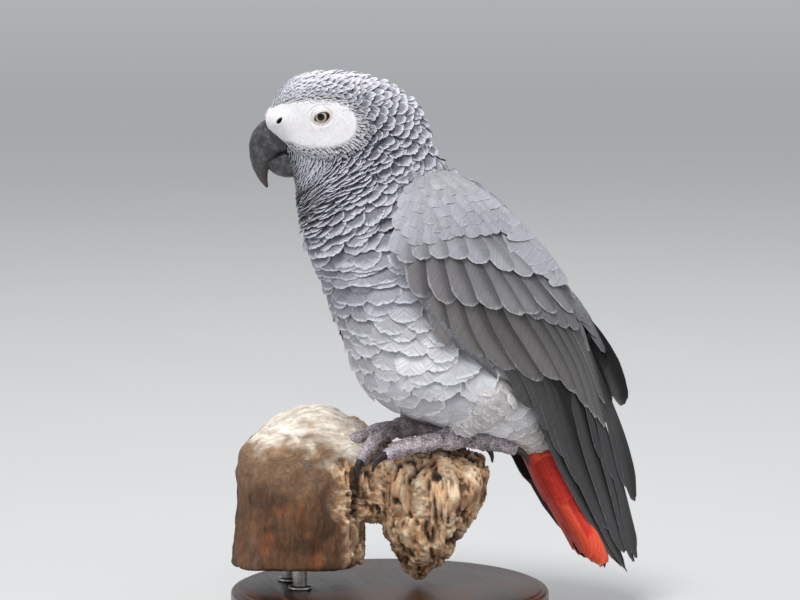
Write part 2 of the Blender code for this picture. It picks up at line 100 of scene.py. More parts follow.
def make_studio():
    for name, azimuth, elevation, distance, size, power, colour in LIGHTS:
        data = bpy.data.lights.new(name, "AREA")
        data.shape = "DISK"
        data.size = size
        data.energy = power
        data.color = colour
        aimed(data, LIGHT_TARGET, azimuth, elevation, distance)
    world = bpy.data.worlds.new("studio")
    world.use_nodes = True
    for socket, value in SKY.items():
        world.node_tree.nodes["Background"].inputs[socket].default_value = value
    bpy.context.scene.world = world
    bpy.context.scene.view_settings.view_transform = "Standard"


# ---------------------------------------------------------------- numbers and noise

HASH_AXES = (374761393, 668265263, 2246822519)  # large odd numbers that mix the bits of a cell
HASH_SEED = 3266489917
HASH_LAST = 1274126177
LOW_32_BITS = 0xFFFFFFFF
LOW_16_BITS = 0xFFFF
CELLS_BELOW_ZERO = 4096  # keeps cell numbers positive
OCTAVE_SHIFT = 7.7  # so that the octaves' cells don't line up


def stack(*values):
    """Numbers side by side, as rows: points, places on a surface or colours."""
    return np.stack(np.broadcast_arrays(*values), axis=-1)


def srgb(*values):
    """Linear colour from values as a picture shows them, 0 to 1."""
    values = stack(*values).astype(float)
    return np.where(values <= 0.04045, values / 12.92, ((values + 0.055) / 1.055) ** 2.4)


def one_colour(value, count):
    """The same colour, given as a picture shows it, for each of count feathers or points."""
    return np.broadcast_to(srgb(*value), (count, 3))


def smooth(x, low, high):
    share = np.clip((x - low) / (high - low), 0, 1)
    return share * share * (3 - 2 * share)


def bell(x, centre, width):
    return np.exp(-(((x - centre) / width) ** 2))


def blend(first, second, share):
    """From first to second. One share for each row of colours or points is spread over the row."""
    share = np.asarray(share)
    return first + (second - first) * (share[:, None] if share.ndim == 1 else share)


def unit(vectors):
    return vectors / np.maximum(np.linalg.norm(vectors, axis=-1, keepdims=True), 1e-9)


def spun(a, b, angle):
    """Two coordinates turned by an angle, the first towards the second."""
    c = np.cos(angle)
    s = np.sin(angle)
    return c * a - s * b, s * a + c * b


def circle(count):
    return np.linspace(0, TURN, count, endpoint=False)


def grid(down, across):
    return np.meshgrid(down, across, indexing="ij")


def lattice(cell, seed):
    """A repeatable number from -1 to 1 for each whole-number cell."""
    mixed = sum(cell[..., k].astype(np.uint64) * np.uint64(HASH_AXES[k]) for k in range(3))
    mixed = (mixed + np.uint64(seed * HASH_SEED)) & np.uint64(LOW_32_BITS)
    mixed = ((mixed ^ (mixed >> np.uint64(13))) * np.uint64(HASH_LAST)) & np.uint64(LOW_32_BITS)
    return ((mixed ^ (mixed >> np.uint64(16))) & np.uint64(LOW_16_BITS)).astype(float) / (LOW_16_BITS / 2) - 1


def waves(points, seed=0):
    """Smooth noise from -1 to 1 that changes over about one unit."""
    base = np.floor(points)
    part = points - base
    part = part * part * (3 - 2 * part)
    base = base.astype(np.int64) + CELLS_BELOW_ZERO
    total = 0
    for corner in np.ndindex(2, 2, 2):
        weight = np.prod(np.where(np.array(corner) == 1, part, 1 - part), axis=-1)
        total = total + weight * lattice(base + np.array(corner), seed)
    return total


def fractal(points, octaves=4, seed=0):
    return sum(waves(points * 2.0**k + OCTAVE_SHIFT * k, seed + k) / 2.0**k for k in range(octaves))


def catmull(table, t):
    """The smooth curve through a table's rows, read at row number t. Past an end it runs straight on."""
    t = np.asarray(t, float)
    last = len(table) - 1
    inside = np.clip(t, 0, last)
    index = np.minimum(inside.astype(int), last - 1)
    f = (inside - index)[..., None]
    p0, p1, p2, p3 = (table[np.clip(index + k, 0, last)] for k in (-1, 0, 1, 2))
    slope_in = (p2 - p0) / 2
    slope_out = (p3 - p1) / 2
    rise = p2 - p1
    cubic = slope_in + slope_out - 2 * rise
    value = p1 + f * (slope_in + f * (rise - slope_in - cubic + f * cubic))
    return value + (t - inside)[..., None] * rise


# ---------------------------------------------------------------- the surfaces that everything lies on

# The body, as the solids have it: back (y, z), front (y, z), half width, share of the head's turn.
# Each row is a station, and its number is the t of every surface and table that follows the body.
BODY = np.array(
    (
        (-65, 287, -61, 271, 8.5, 1.0),  # bill base
        (-52, 303, -54, 251, 17.0, 1.0),  # brow and chin
        (-24, 306, -52, 237, 21.0, 1.0),  # crown and throat
        (12, 291, -50, 224, 24.0, 0.6),  # nape
        (30, 255, -47, 210, 28.5, 0.1),  # foot of the neck
        (57, 238, -38, 190, 36.0, 0.0),  # mantle
        (89, 199, -26, 160, 42.0, 0.0),  # breast
        (96, 150, -7, 124, 40.0, 0.0),  # belly
        (97, 112, 50, 102, 25.0, 0.0),  # vent
        (101, 95, 74, 93, 15.0, 0.0),  # tail base
    ),
    float,
)
BODY_POWER = 2 / 2.2
HEAD_TURN = math.radians(12)
NECK_PIVOT_Y = -8

# The wing, by its own stations: upper edge (x, y, z), lower edge (x, y, z), bulge.
WING = np.array(
    (
        (21, 30, 250, 27, 6, 245, 4),
        (22, 58, 230, 43, -5, 214, 13),
        (18, 93, 192, 46, 16, 171, 16),
        (13, 112, 146, 40, 58, 133, 12),
        (11, 125, 94, 26, 90, 90, 5),
        (9, 139, 35, 15, 126, 36, 1),
    ),
    float,
)
WING_PIVOT = (20, 235)  # y, z
RIGHT_DROOP = math.radians(3)
RIGHT_SPREAD = 11
RIGHT_LIFT = 21

# The tail, by its own stations: upper line (y, z), under line (y, z), half width.
TAIL = np.array(
    (
        (102, 92.5, 75, 91, 15.5),
        (110, 72, 87, 70, 17.0),
        (119, 48, 102, 46, 18.5),
        (124, 33, 111, 31, 17.5),
        (124, 28, 116, 27, 8.0),
    ),
    float,
)
TAIL_POWER = 2 / 2.4


def rounded(angle, power):
    c = np.cos(angle)
    s = np.sin(angle)
    return np.sign(c) * np.abs(c) ** power, np.sign(s) * np.abs(s) ** power


def turned(points, share=1.0):
    """Turns points of the head with it, to the bird's right."""
    x, y = spun(points[..., 0], points[..., 1] - NECK_PIVOT_Y, -HEAD_TURN * np.asarray(share))
    return stack(x, y + NECK_PIVOT_Y, points[..., 2])


def facing(points):
    """Turns points back into the head's own frame, looking straight ahead."""
    return turned(points, -1.0)


def oval(table, power, t, angle):
    rows = catmull(table, t)
    back = rows[..., 0:2]
    front = rows[..., 2:4]
    across, along = rounded(angle, power)
    places = (back + front) / 2 + (back - front) / 2 * along[..., None]
    return np.concatenate([(rows[..., 4] * across)[..., None], places], axis=-1), rows


def body(t, angle):
    """A point of the body's surface. The angle is 0 at the left side, a quarter turn at the back line."""
    points, rows = oval(BODY, BODY_POWER, t, angle)
    return turned(points, np.clip(rows[..., 5], 0, 1))


def body_middle(t):
    rows = catmull(BODY, t)
    y, z = ((rows[:, k] + rows[:, k + 2]) / 2 for k in (0, 1))
    return turned(stack(0, y, z), np.clip(rows[:, 5], 0, 1))


def tail(t, angle):
    return oval(TAIL, TAIL_POWER, t, angle)[0]


def wing(side):
    """The outer surface of a folded wing, from its upper edge at 0 to its lower edge at 1."""
    droop, spread, lift = (0, 0, 0) if side > 0 else (RIGHT_DROOP, RIGHT_SPREAD, RIGHT_LIFT)

    def upper_edge(t):
        return catmull(WING, t)[..., 0:3]

    def surface(t, across):
        t = np.asarray(t, float)
        rows = catmull(WING, t)
        upper = rows[..., 0:3]
        lower = rows[..., 3:6]
        chord = unit(upper - lower)
        run = unit(upper_edge(np.minimum(t + 0.1, len(WING) - 1)) - upper_edge(np.maximum(t - 0.1, 0)))
        opening = spread * smooth(t, 0, 3.2) * (1 - 0.6 * smooth(t, 4, 5))
        raised = lift * smooth(t, 1.1, 3.1) * (1 - smooth(t, 3.4, 4.2))
        upper = upper + chord * raised[..., None]
        lower = lower - chord * opening[..., None]
        out = unit(np.cross(run, chord))
        across = np.asarray(across, float)[..., None]
        points = upper + (lower - upper) * across + out * rows[..., 6:7] * np.sin(math.pi * across)
        y, z = spun(points[..., 1] - WING_PIVOT[0], points[..., 2] - WING_PIVOT[1], -droop)
        return stack(side * points[..., 0], y + WING_PIVOT[0], z + WING_PIVOT[1])

    return surface


def tube(path, radii):
    """A round limb along a straight line, t from 0 to 1."""
    start, end = (np.array(point, float) for point in path)
    along = unit(end - start)
    level = unit(np.cross(along, (0, 0, 1.0)))
    other = np.cross(along, level)
    table = np.array(radii, float)[:, None]

    def surface(t, angle):
        t = np.asarray(t, float)
        radius = catmull(table, t * (len(radii) - 1))
        ring = level * np.cos(angle)[..., None] + other * np.sin(angle)[..., None]
        return start + (end - start) * t[..., None] + ring * radius

    return surface


def slopes(surface, t, a, step=0.004):
    """How the surface moves with each of its two numbers, and its normal, not yet turned outwards."""
    by_t = (surface(t + step, a) - surface(t - step, a)) / (2 * step)
    by_a = (surface(t, a + step) - surface(t, a - step)) / (2 * step)
    return by_t, by_a, unit(np.cross(by_a, by_t))


def steps_for(way, by_t, by_a, least=0.0):
    """The change of the surface's two numbers that moves a point by way. Least guards thin places."""
    tt = (by_t * by_t).sum(-1)
    aa = (by_a * by_a).sum(-1)
    ta = (by_t * by_a).sum(-1)
    wt = (way * by_t).sum(-1)
    wa = (way * by_a).sum(-1)
    scale = np.maximum(tt * aa - ta * ta, least * tt * aa + 1e-6)
    return stack((wt * aa - wa * ta) / scale, (wa * tt - wt * ta) / scale)


def ahead_of(surface, roots, lengths, yaw):
    """The tips of feathers that start at roots and run on by their lengths, turned by yaw."""
    by_t, by_a, normal = slopes(surface, roots[:, 0], roots[:, 1])
    other = unit(by_a)
    along = unit(np.cross(other, normal))
    along = along * np.sign((along * by_t).sum(-1, keepdims=True))
    way = along * np.cos(yaw)[:, None] + other * np.sin(yaw)[:, None]
    return roots + steps_for(way, by_t, by_a) * lengths[:, None]


def outward_sign(surface, middle):
    """1 or -1: which way the surface's normal has to be turned to point away from a place inside."""
    t = np.array([1.0])
    a = np.array([0.7])
    point = surface(t, a)
    return float(np.sign(((point - middle) * slopes(surface, t, a)[2]).sum()))


def by_station(values):
    """A function of t through a short table, one value for each of the body's stations."""
    values = np.asarray(values, float)
    return lambda t: np.interp(t, np.arange(len(values)), values)


# ---------------------------------------------------------------- meshes


def dressed(made, material, replaces=()):
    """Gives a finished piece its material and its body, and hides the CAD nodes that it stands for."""
    made.data.materials.append(material)
    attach(made, "root")
    if replaces:
        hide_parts(*replaces)
    return made


def new_object(name, mesh, material, replaces=()):
    return dressed(linked(name, mesh), material, replaces)


def join(name, meshes, material, replaces=()):
    """One piece from several meshes."""
    objects = [linked(name, mesh) for mesh in meshes]
    made = objects[0]
    chosen = {"selected_objects": objects, "selected_editable_objects": objects}
    with bpy.context.temp_override(active_object=made, **chosen):
        bpy.ops.object.join()
    made.name = name
    made.data.name = name
    return dressed(made, material, replaces)


def mesh_from(name, points, faces):
    """A mesh from points in millimetres and an array of equal-sized faces."""
    faces = np.asarray(faces, np.int32)
    mesh = bpy.data.meshes.new(name)
    mesh.vertices.add(len(points))
    mesh.vertices.foreach_set("co", (np.asarray(points) * MM).astype(np.float32).ravel())
    mesh.loops.add(faces.size)
    mesh.loops.foreach_set("vertex_index", faces.ravel())
    mesh.polygons.add(len(faces))
    mesh.polygons.foreach_set("loop_start", np.arange(0, faces.size, faces.shape[1], dtype=np.int32))
    mesh.update(calc_edges=True)
    mesh.validate()
    mesh.shade_smooth()
    return mesh


def put(mesh, name, values):
    """Stores one number, or one row of three, for each vertex."""
    values = np.asarray(values, np.float32)
    if values.ndim == 1:
        mesh.attributes.new(name, "FLOAT", "POINT").data.foreach_set("value", values)
    else:
        mesh.attributes.new(name, "FLOAT_VECTOR", "POINT").data.foreach_set("vector", values.ravel())


def put_uv(mesh, places):
    layer = mesh.uv_layers.new(name="OFBake")
    corners = np.empty(len(mesh.loops), np.int32)
    mesh.loops.foreach_get("vertex_index", corners)
    layer.data.foreach_set("uv", np.asarray(places, np.float32)[corners].ravel())


def close_seam(mesh):
    """Keeps each face of a turned shape whole on its unwrap, where the angle starts again from 0."""
    layer = mesh.uv_layers["OFBake"]
    for face in mesh.polygons:
        found = [layer.uv[k].vector[0] for k in face.loop_indices]
        if max(found) - min(found) > 0.5:
            for k, u in zip(face.loop_indices, found):
                layer.uv[k].vector[0] = u + 1.0 if u < 0.45 else u
    for corner in layer.uv:
        corner.vector[0] *= 0.99


def per_vertex(mesh, what):
    found = np.empty(len(mesh.vertices) * 3, np.float32)
    mesh.vertices.foreach_get(what, found)
    return found.reshape(-1, 3).astype(float)


def vertices(mesh):
    return per_vertex(mesh, "co") / MM


def normals(mesh):
    return per_vertex(mesh, "normal")


def place(mesh, points):
    mesh.vertices.foreach_set("co", (points * MM).astype(np.float32).ravel())
    mesh.update()


def grid_faces(rows, columns, wrap=False):
    """Quads of a grid, counted row by row. With wrap, the last column joins the first."""
    r, c = grid(np.arange(rows - 1), np.arange(columns if wrap else columns - 1))
    after = (c + 1) % columns
    near = r * columns
    far = near + columns
    return stack(near + c, near + after, far + after, far + c).reshape(-1, 4)


def lathe(name, rings):
    """A closed mesh from rings, shape (rows, columns, 3). Its last two vertices close the ends."""
    rows, columns = rings.shape[:2]
    mesh = mesh_from(name, rings.reshape(-1, 3), grid_faces(rows, columns, wrap=True))
    shape = bmesh.new()
    shape.from_mesh(mesh)
    shape.verts.ensure_lookup_table()
    for first in (0, (rows - 1) * columns):
        loop = [shape.verts[k] for k in range(first, first + columns)]
        centre = shape.verts.new(sum((v.co for v in loop), Vector()) / columns)
        for k in range(columns):
            shape.faces.new((loop[k], loop[(k + 1) % columns], centre))
        shape.verts.ensure_lookup_table()
    bmesh.ops.recalc_face_normals(shape, faces=shape.faces)
    shape.to_mesh(mesh)
    shape.free()
    mesh.shade_smooth()
    return mesh


def solids(nodes):
    """The meshes of CAD nodes, together in one that can be edited."""
    shape = bmesh.new()
    for node in nodes:
        shape.from_mesh(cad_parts[node].data)
    return shape


def remeshed(name, nodes, voxel, grow, smoothing):
    """One smooth closed mesh over several CAD nodes, grown a little so that their gaps close."""
    shape = solids(nodes)
    bmesh.ops.remove_doubles(shape, verts=shape.verts, dist=1e-6)
    bmesh.ops.recalc_face_normals(shape, faces=shape.faces)
    shape.normal_update()
    for vertex in shape.verts:
        vertex.co += vertex.normal * grow * MM * min(vertex.calc_shell_factor(), 1.5)
    mesh = bpy.data.meshes.new(name)
    shape.to_mesh(mesh)
    shape.free()
    source = linked(name, mesh)
    cells = source.modifiers.new("cells", "REMESH")
    cells.mode = "VOXEL"
    cells.voxel_size = voxel * MM
    soft = source.modifiers.new("soft", "SMOOTH")
    soft.factor = 0.5
    soft.iterations = smoothing
    graph = bpy.context.evaluated_depsgraph_get()
    result = bpy.data.meshes.new_from_object(source.evaluated_get(graph))
    bpy.data.objects.remove(source)
    bpy.data.meshes.remove(mesh)
    result.name = name
    result.shade_smooth()
    return result


# ---------------------------------------------------------------- materials


class Nodes:
    """Builds a material. A value may be a number, a tuple or another node's output."""

    def __init__(self, name):
        self.material = bpy.data.materials.new(name)
        self.material.use_nodes = True
        self.tree = self.material.node_tree
        self.shader = self.tree.nodes["Principled BSDF"]

    def set(self, socket, value):
        if isinstance(value, bpy.types.NodeSocket):
            self.tree.links.new(value, socket)
        elif isinstance(value, (tuple, list, np.ndarray)):
            value = tuple(float(v) for v in value)
            needs_alpha = len(socket.default_value) == 4 and len(value) == 3
            socket.default_value = (*value, 1.0) if needs_alpha else value
        else:
            socket.default_value = value

    def add(self, kind, sockets, output=0, **settings):
        node = self.tree.nodes.new("ShaderNode" + kind)
        for key, value in settings.items():
            setattr(node, key, value)
        for key, value in sockets.items():
            self.set(node.inputs[key], value)
        return node.outputs[output]

    def math(self, operation, a, b=0.0):
        return self.add("Math", {0: a, 1: b}, operation=operation)

    def times(self, a, b):
        return self.math("MULTIPLY", a, b)

    def mix(self, share, a, b, blend_type="MIX"):
        return self.add("Mix", {0: share, 6: a, 7: b}, output=2, data_type="RGBA", blend_type=blend_type)

    def tinted(self, colour, by):
        return self.mix(1.0, colour, by, "MULTIPLY")

    def shaded(self, colour, level):
        return self.tinted(colour, self.add("CombineColor", {0: level, 1: level, 2: level}))

    def stretched(self, vector, by):
        return self.add("VectorMath", {0: vector, 1: by}, operation="MULTIPLY")

    def split(self, vector):
        return self.add("SeparateXYZ", {0: vector}).node.outputs

    def attribute(self, name, output="Color"):
        return self.add("Attribute", {}, output=output, attribute_name=name)

    def place(self):
        return self.add("TexCoord", {}, output="Object")

    def noise(self, where, scale, detail=3.0, roughness=0.6, distortion=0.0):
        sockets = {"Vector": where, "Scale": scale, "Detail": detail, "Roughness": roughness}
        return self.add("TexNoise", {**sockets, "Distortion": distortion})

    def ramp(self, value, low, high, to_low=0.0, to_high=1.0):
        sockets = {"Value": value, "From Min": low, "From Max": high, "To Min": to_low, "To Max": to_high}
        return self.add("MapRange", sockets, interpolation_type="SMOOTHSTEP")

    def bump(self, height, distance, strength):
        return self.add("Bump", {"Height": height, "Distance": distance, "Strength": strength})

    def finish(self, **sockets):
        for key, value in sockets.items():
            self.set(self.shader.inputs[key.replace("_", " ").title().replace("Ior", "IOR")], value)
        return self.material


def feather_material(name, rim_start, streak, shaft, roughness, sheen=0.15):
    """Vanes: tint inside, rim colour at the edges, barbs that run out and forwards from the shaft."""
    n = Nodes(name)
    sideways, along, edge = n.split(n.attribute("vane", "Vector"))
    across = n.math("ABSOLUTE", sideways)
    seed = n.attribute("seed", "Fac")
    barb = n.math("SUBTRACT", along, n.times(across, 0.9))
    where = n.add("CombineXYZ", {0: barb, 1: n.times(across, 0.10), 2: n.times(seed, 91.0)})
    strands = n.noise(where, 1.35, 4.0, 0.65)
    ragged = n.math("ADD", edge, n.times(n.math("SUBTRACT", strands, 0.5), 0.45))
    colour = n.mix(n.ramp(ragged, rim_start, 1.02), n.attribute("tint"), n.attribute("rim"))
    shade = n.ramp(strands, 0.30, 0.72, 1.0 - streak, 1.0 + streak * 0.55)
    colour = n.shaded(colour, n.times(shade, n.ramp(across, 0.10, 0.55, 1.0 - shaft, 1.0)))
    ridge = n.math("ADD", strands, n.times(n.ramp(across, 0.15, 0.6, 1.0, 0.0), 0.5))
    return n.finish(base_color=colour, roughness=roughness, normal=n.bump(ridge, 0.00035, 0.55),
                    specular_ior_level=0.28, sheen_weight=sheen, sheen_roughness=0.5)


def skin_material():
    """Bare white face, grey down below the coat, dark scales on the legs, with painted highlights on the
    scales.
    """
    n = Nodes("skin")
    where = n.place()
    tint = n.attribute("tint")
    fine = n.noise(where, 900.0, 4.0, 0.6)
    blotches = n.noise(where, 140.0, 3.0, 0.5)
    colour = n.mix(n.ramp(blotches, 0.35, 0.7, 0.0, 0.5), tint, n.tinted(tint, (0.90, 0.86, 0.86)))
    # Painted highlight: the scale tops are lightened as glints where the scale attribute is high.
    lit_scales = n.ramp(n.attribute("scale", "Fac"), 0.45, 1.0)
    colour = n.mix(lit_scales, colour, n.tinted(colour, (1.4, 1.4, 1.42)))
    colour = n.shaded(colour, n.ramp(fine, 0.3, 0.7, 0.93, 1.05))
    normal = n.bump(n.math("ADD", fine, n.times(blotches, 0.6)), 0.0002, 0.5)
    return n.finish(base_color=colour, roughness=n.ramp(fine, 0.2, 0.8, 0.55, 0.75), normal=normal,
                    specular_ior_level=0.35, subsurface_weight=0.08,
                    subsurface_radius=(0.002, 0.001, 0.0006), subsurface_scale=0.5)


def horn_material(name, dark, light, dust):
    """Bill and claws: near black, with growth lines, chalky bloom and fine scratches."""
    n = Nodes(name)
    shape = n.attribute("horn", "Vector")
    lines = n.noise(n.stretched(shape, (14.0, 1.4, 1.0)), 1.0, 5.0, 0.7)
    bloom = n.noise(n.place(), 260.0, 5.0, 0.62)
    scratch = n.noise(n.stretched(shape, (3.0, 40.0, 1.0)), 1.0, 3.0, 0.6)
    colour = n.mix(n.ramp(bloom, 0.42, 0.74, 0.0, dust), dark, light)
    colour = n.mix(n.ramp(lines, 0.50, 0.8, 0.0, dust * 0.8), colour, light)
    at_tip = n.ramp(n.split(shape)[1], 0.60, 0.95, 0.0, 0.55)
    colour = n.mix(at_tip, colour, srgb(0.27, 0.22, 0.19))
    rough = n.ramp(n.math("ADD", bloom, n.times(scratch, 0.4)), 0.4, 1.0, 0.27, 0.52)
    height = n.math("ADD", n.times(lines, 0.7), n.times(bloom, 0.5))
    return n.finish(base_color=colour, roughness=rough, normal=n.bump(height, 0.0004, 0.5))


def eye_material():
    """Black pupil, cream iris with fine spokes and a dark outer ring, under a clear coat."""
    n = Nodes("eye")
    radius, level, up = n.split(n.attribute("ball", "Vector"))  # millimetres out, then the direction
    spokes = n.noise(n.add("CombineXYZ", {0: level, 1: up, 2: n.times(radius, 0.25)}), 9.0, 3.0, 0.6)
    iris = n.mix(n.ramp(spokes, 0.3, 0.7), srgb(0.62, 0.58, 0.48), srgb(0.82, 0.78, 0.68))
    iris = n.mix(n.ramp(radius, 1.9, 2.4, 0.6, 0.0), iris, srgb(0.40, 0.37, 0.29))
    colour = n.mix(n.ramp(radius, 2.80, 3.15), iris, srgb(0.10, 0.09, 0.08))
    colour = n.mix(n.ramp(radius, 1.85, 2.0), srgb(0.01, 0.01, 0.01), colour)
    return n.finish(base_color=colour, roughness=0.25, specular_ior_level=0.2,
                    coat_weight=0.4, coat_roughness=0.02)


def branch_material():
    """Weathered wood: bark-brown trunk, pale on its upward-facing top, tan torn fibres with painted shade in
    the pits, splits and grooves.
    """
    n = Nodes("branch")
    where = n.place()
    tint = n.attribute("tint")
    fibres = n.noise(n.attribute("flow", "Vector"), 1.0, 6.0, 0.68, 0.6)
    spots = n.noise(where, 85.0, 5.0, 0.62)
    fine = n.noise(where, 520.0, 4.0, 0.65)
    colour = n.mix(n.ramp(fibres, 0.36, 0.66), n.tinted(tint, (0.60, 0.53, 0.47)), tint)
    colour = n.mix(n.ramp(spots, 0.52, 0.74, 0.0, 0.75), colour, n.tinted(tint, (1.45, 1.42, 1.38)))
    colour = n.mix(n.ramp(spots, 0.30, 0.42, 0.55, 0.0), colour, n.tinted(tint, (0.62, 0.40, 0.26)))
    # Painted shade: near black in the torn wood's pits, splits and grooves.
    colour = n.mix(n.attribute("pit", "Fac"), colour, srgb(0.10, 0.07, 0.05))
    height = n.math("ADD", fibres, n.times(fine, 0.35))
    rough = n.ramp(fine, 0.3, 0.7, 0.72, 0.95)
    return n.finish(base_color=colour, roughness=rough, normal=n.bump(height, 0.0016, 0.75))


def stand_material():
    """Dark walnut with rings of grain under a satin varnish."""
    n = Nodes("walnut")
    where = n.place()
    grain = n.noise(n.stretched(where, (10.0, 90.0, 60.0)), 1.6, 6.0, 0.6, 0.8)
    pores = n.noise(n.stretched(where, (60.0, 900.0, 600.0)), 1.0, 3.0, 0.7)
    colour = n.mix(n.ramp(grain, 0.34, 0.68), srgb(0.16, 0.095, 0.06), srgb(0.34, 0.215, 0.135))
    colour = n.mix(n.ramp(pores, 0.30, 0.45, 0.7, 0.0), colour, srgb(0.09, 0.055, 0.035))
    return n.finish(base_color=colour, roughness=n.ramp(grain, 0.3, 0.7, 0.30, 0.42),
                    normal=n.bump(pores, 0.00012, 0.5), coat_weight=0.25, coat_roughness=0.2)


def steel_material():
    n = Nodes("steel")
    marks = n.noise(n.stretched(n.place(), (400.0, 400.0, 6000.0)), 1.0, 3.0, 0.6)
    colour = n.mix(n.ramp(marks, 0.3, 0.7), srgb(0.58, 0.57, 0.55), srgb(0.74, 0.73, 0.71))
    return n.finish(base_color=colour, metallic=1.0, roughness=n.ramp(marks, 0.3, 0.7, 0.24, 0.38),
                    normal=n.bump(marks, 0.00004, 0.5))


def floor_material():
    n = Nodes("floor")
    where = n.place()
    near = n.mix(n.noise(where, 3.0, 4.0, 0.5), srgb(0.81, 0.815, 0.82), srgb(0.83, 0.835, 0.84))
    away = n.add("VectorMath", {0: where}, output=1, operation="LENGTH")
    colour = n.mix(n.ramp(away, 0.8, 7.0), near, srgb(0.995, 0.995, 0.995))
    return n.finish(base_color=colour, roughness=0.9)


# ---------------------------------------------------------------- feathers

FEATHER = {
    # one value for all feathers of a row, or one for each
    "sink": 2.0,  # how deep the root lies
    "rise": 0.3,  # how high the tip stands over the surface
    "camber": 0.08,  # how far the edges bend down, as a share of the width
    "curl": 0.0,  # how far the last third lifts
    "tilt": 0.0,  # how much higher one edge lies
    "lift": 0.0,  # how high the whole feather lies
    "narrow": 0.55,  # width at the root, as a share
    "point": 0.0,  # 0 for a round tip, 1 for a pointed one
    "round_from": 0.62,  # where the tip starts to round
    "ragged": 0.03,  # how uneven the outline is, as a share
    "thick": 0.22,
}
FEATHER_LOOKS = {
    "side_power": 1.0,  # how closely the rim colour keeps to the edges
    "uneven": 0.10,  # how much the tint varies from feather to feather
    "inner": 0.0,  # how much darker the covered side is painted, as the shadow of the feather that lies over it
    "inner_side": 1,  # which side that is
    "painted_shade_from_to": (-0.1, 0.9),  # where that painted shadow starts and is full, across the vane
    "root_dark": 0.0,  # how much darker the root is painted, as shade in the gaps between rows
    "patch": 0.003,  # the size of the feather on the bake map
}
SHARP_ANGLE = math.radians(60)


class Vane:
    """The pattern of points and faces that every feather of a piece repeats: a thin closed leaf.

    u runs across it from -1 to 1 and v from its root to its tip. The underside has no rim points of its own.
    """

    def __init__(self, columns, rows):
        self.columns = columns
        self.rows = rows
        u, v = np.meshgrid(np.linspace(-1, 1, columns), np.linspace(0, 1, rows))
        self.u = u.ravel()
        self.v = v.ravel()
        self.inner = (np.abs(self.u) < 0.999) & (self.v > 0.001) & (self.v < 0.999)
        below = np.arange(columns * rows)
        below[self.inner] = columns * rows + np.arange(self.inner.sum())
        top = grid_faces(rows, columns)
        self.faces = np.concatenate([top, below[top][:, ::-1]])
        self.count = columns * rows + int(self.inner.sum())

    def both(self, values, count):
        """Values of the top's points for count feathers, repeated for the underside and in one list."""
        values = np.broadcast_to(values, (count, len(self.u)) + values.shape[2:])
        return np.concatenate([values, values[:, self.inner]], axis=1).reshape((-1,) + values.shape[2:])


def outline(vane, count, each):
    """Where each point lies across and along its feather, and how near the feather's edge."""
    u = vane.u[None, :]
    v = vane.v[None, :]
    start = each["round_from"]
    late = np.clip((v - start) / (1 - start), 0, 1)
    growing = each["narrow"] + (1 - each["narrow"]) * smooth(v / start, 0, 0.9)
    x = u * np.where(late > 0, np.sqrt(1 - late**2 / 2), growing)
    x = x * (1 - each["point"] * 0.55 * smooth(v, 0.35, 1.0))
    y = np.where(late > 0, start + (1 - start) * late * np.sqrt(1 - u**2 / 2), v)
    uneven = random.normal(0, 1, (count, vane.rows, vane.columns)).reshape(count, -1)
    at_rim = np.maximum(np.abs(u) > 0.999, v > 0.999)
    x = x * (1 + each["ragged"] * uneven * at_rim)
    y = y + 0.6 * each["ragged"] * uneven * at_rim * (v > 0.4)
    return x, y, late


def lay(name, vane, ground, root, tip, width, tint, rim, **options):
    """Feathers laid along a surface, as one mesh.

    ground is the surface, 1 or -1 for its outer side, and where its places lie on the bake map.
    root and tip hold the surface's two numbers for each feather's ends, and width is in millimetres.
    tint and rim hold a colour for each feather.
    """
    surface, outward, home = ground
    count = len(root)
    options = {**FEATHER, **FEATHER_LOOKS, **options}
    each = {key: np.broadcast_to(np.asarray(options[key], float), (count,))[:, None] for key in FEATHER}
    seed = random.random(count)
    x, y, late = outline(vane, count, each)
    u = vane.u[None, :]
    v = vane.v[None, :]
    width = width[:, None]
    edge = np.maximum(np.abs(u) ** options["side_power"] * smooth(v, 0.05, 0.4), late)

    run = (tip - root)[:, None, :]
    centre = root[:, None, :] + run * y[..., None]
    by_t, by_a, normal = slopes(surface, centre[..., 0], centre[..., 1])
    travel = run[..., 0:1] * by_t + run[..., 1:2] * by_a
    length = np.linalg.norm(travel, axis=-1)
    sideways = unit(np.cross(normal * outward, travel)) * (x * width / 2)[..., None]
    where = centre + steps_for(sideways, by_t, by_a, 0.02)
    points = surface(where[..., 0], where[..., 1])
    normal = slopes(surface, where[..., 0], where[..., 1])[2] * outward
    height = -each["sink"] * (1 - smooth(v, 0.0, 0.75)) + each["rise"] * smooth(v, 0.3, 1.0)
    height = height + each["lift"] - each["camber"] * width * u**2
    height = height + each["curl"] * np.clip((v - 0.6) / 0.4, 0, 1) ** 2
    height = height + each["tilt"] * u * smooth(v, 0, 0.5)
    top = points + normal * height[..., None]
    under = top[:, vane.inner] - (normal * each["thick"][..., None])[:, vane.inner]
    faces = (vane.faces[None] + (np.arange(count) * vane.count)[:, None, None]).reshape(-1, 4)
    mesh = mesh_from(name, np.concatenate([top, under], axis=1).reshape(-1, 3), faces)

    put(mesh, "vane", vane.both(stack(x * (width / 2), y * length, edge), count))
    put(mesh, "seed", vane.both(seed[:, None], count))
    shade = (1 + options["uneven"] * random.normal(0, 1, (count, 1)))[..., None]
    # Painted shade: the covered side of each vane is darkened as if in its neighbour's shadow, and the root
    # as if in the shade between rows.
    dim = 1 - options["inner"] * smooth(u * options["inner_side"], *options["painted_shade_from_to"])
    dim = (dim * (1 - options["root_dark"] * (1 - smooth(v, 0.25, 0.85))))[..., None]
    put(mesh, "tint", vane.both(np.clip(tint[:, None, :] * dim * shade, 0, 1), count))
    put(mesh, "rim", vane.both(np.clip(rim[:, None, :] * dim, 0, 1), count))
    local = options["patch"] * stack(u / 2, v - 0.5)
    put_uv(mesh, vane.both(home(root[:, 0], root[:, 1])[:, None, :] + local, count))
    mesh.set_sharp_from_angle(angle=SHARP_ANGLE)
    return mesh


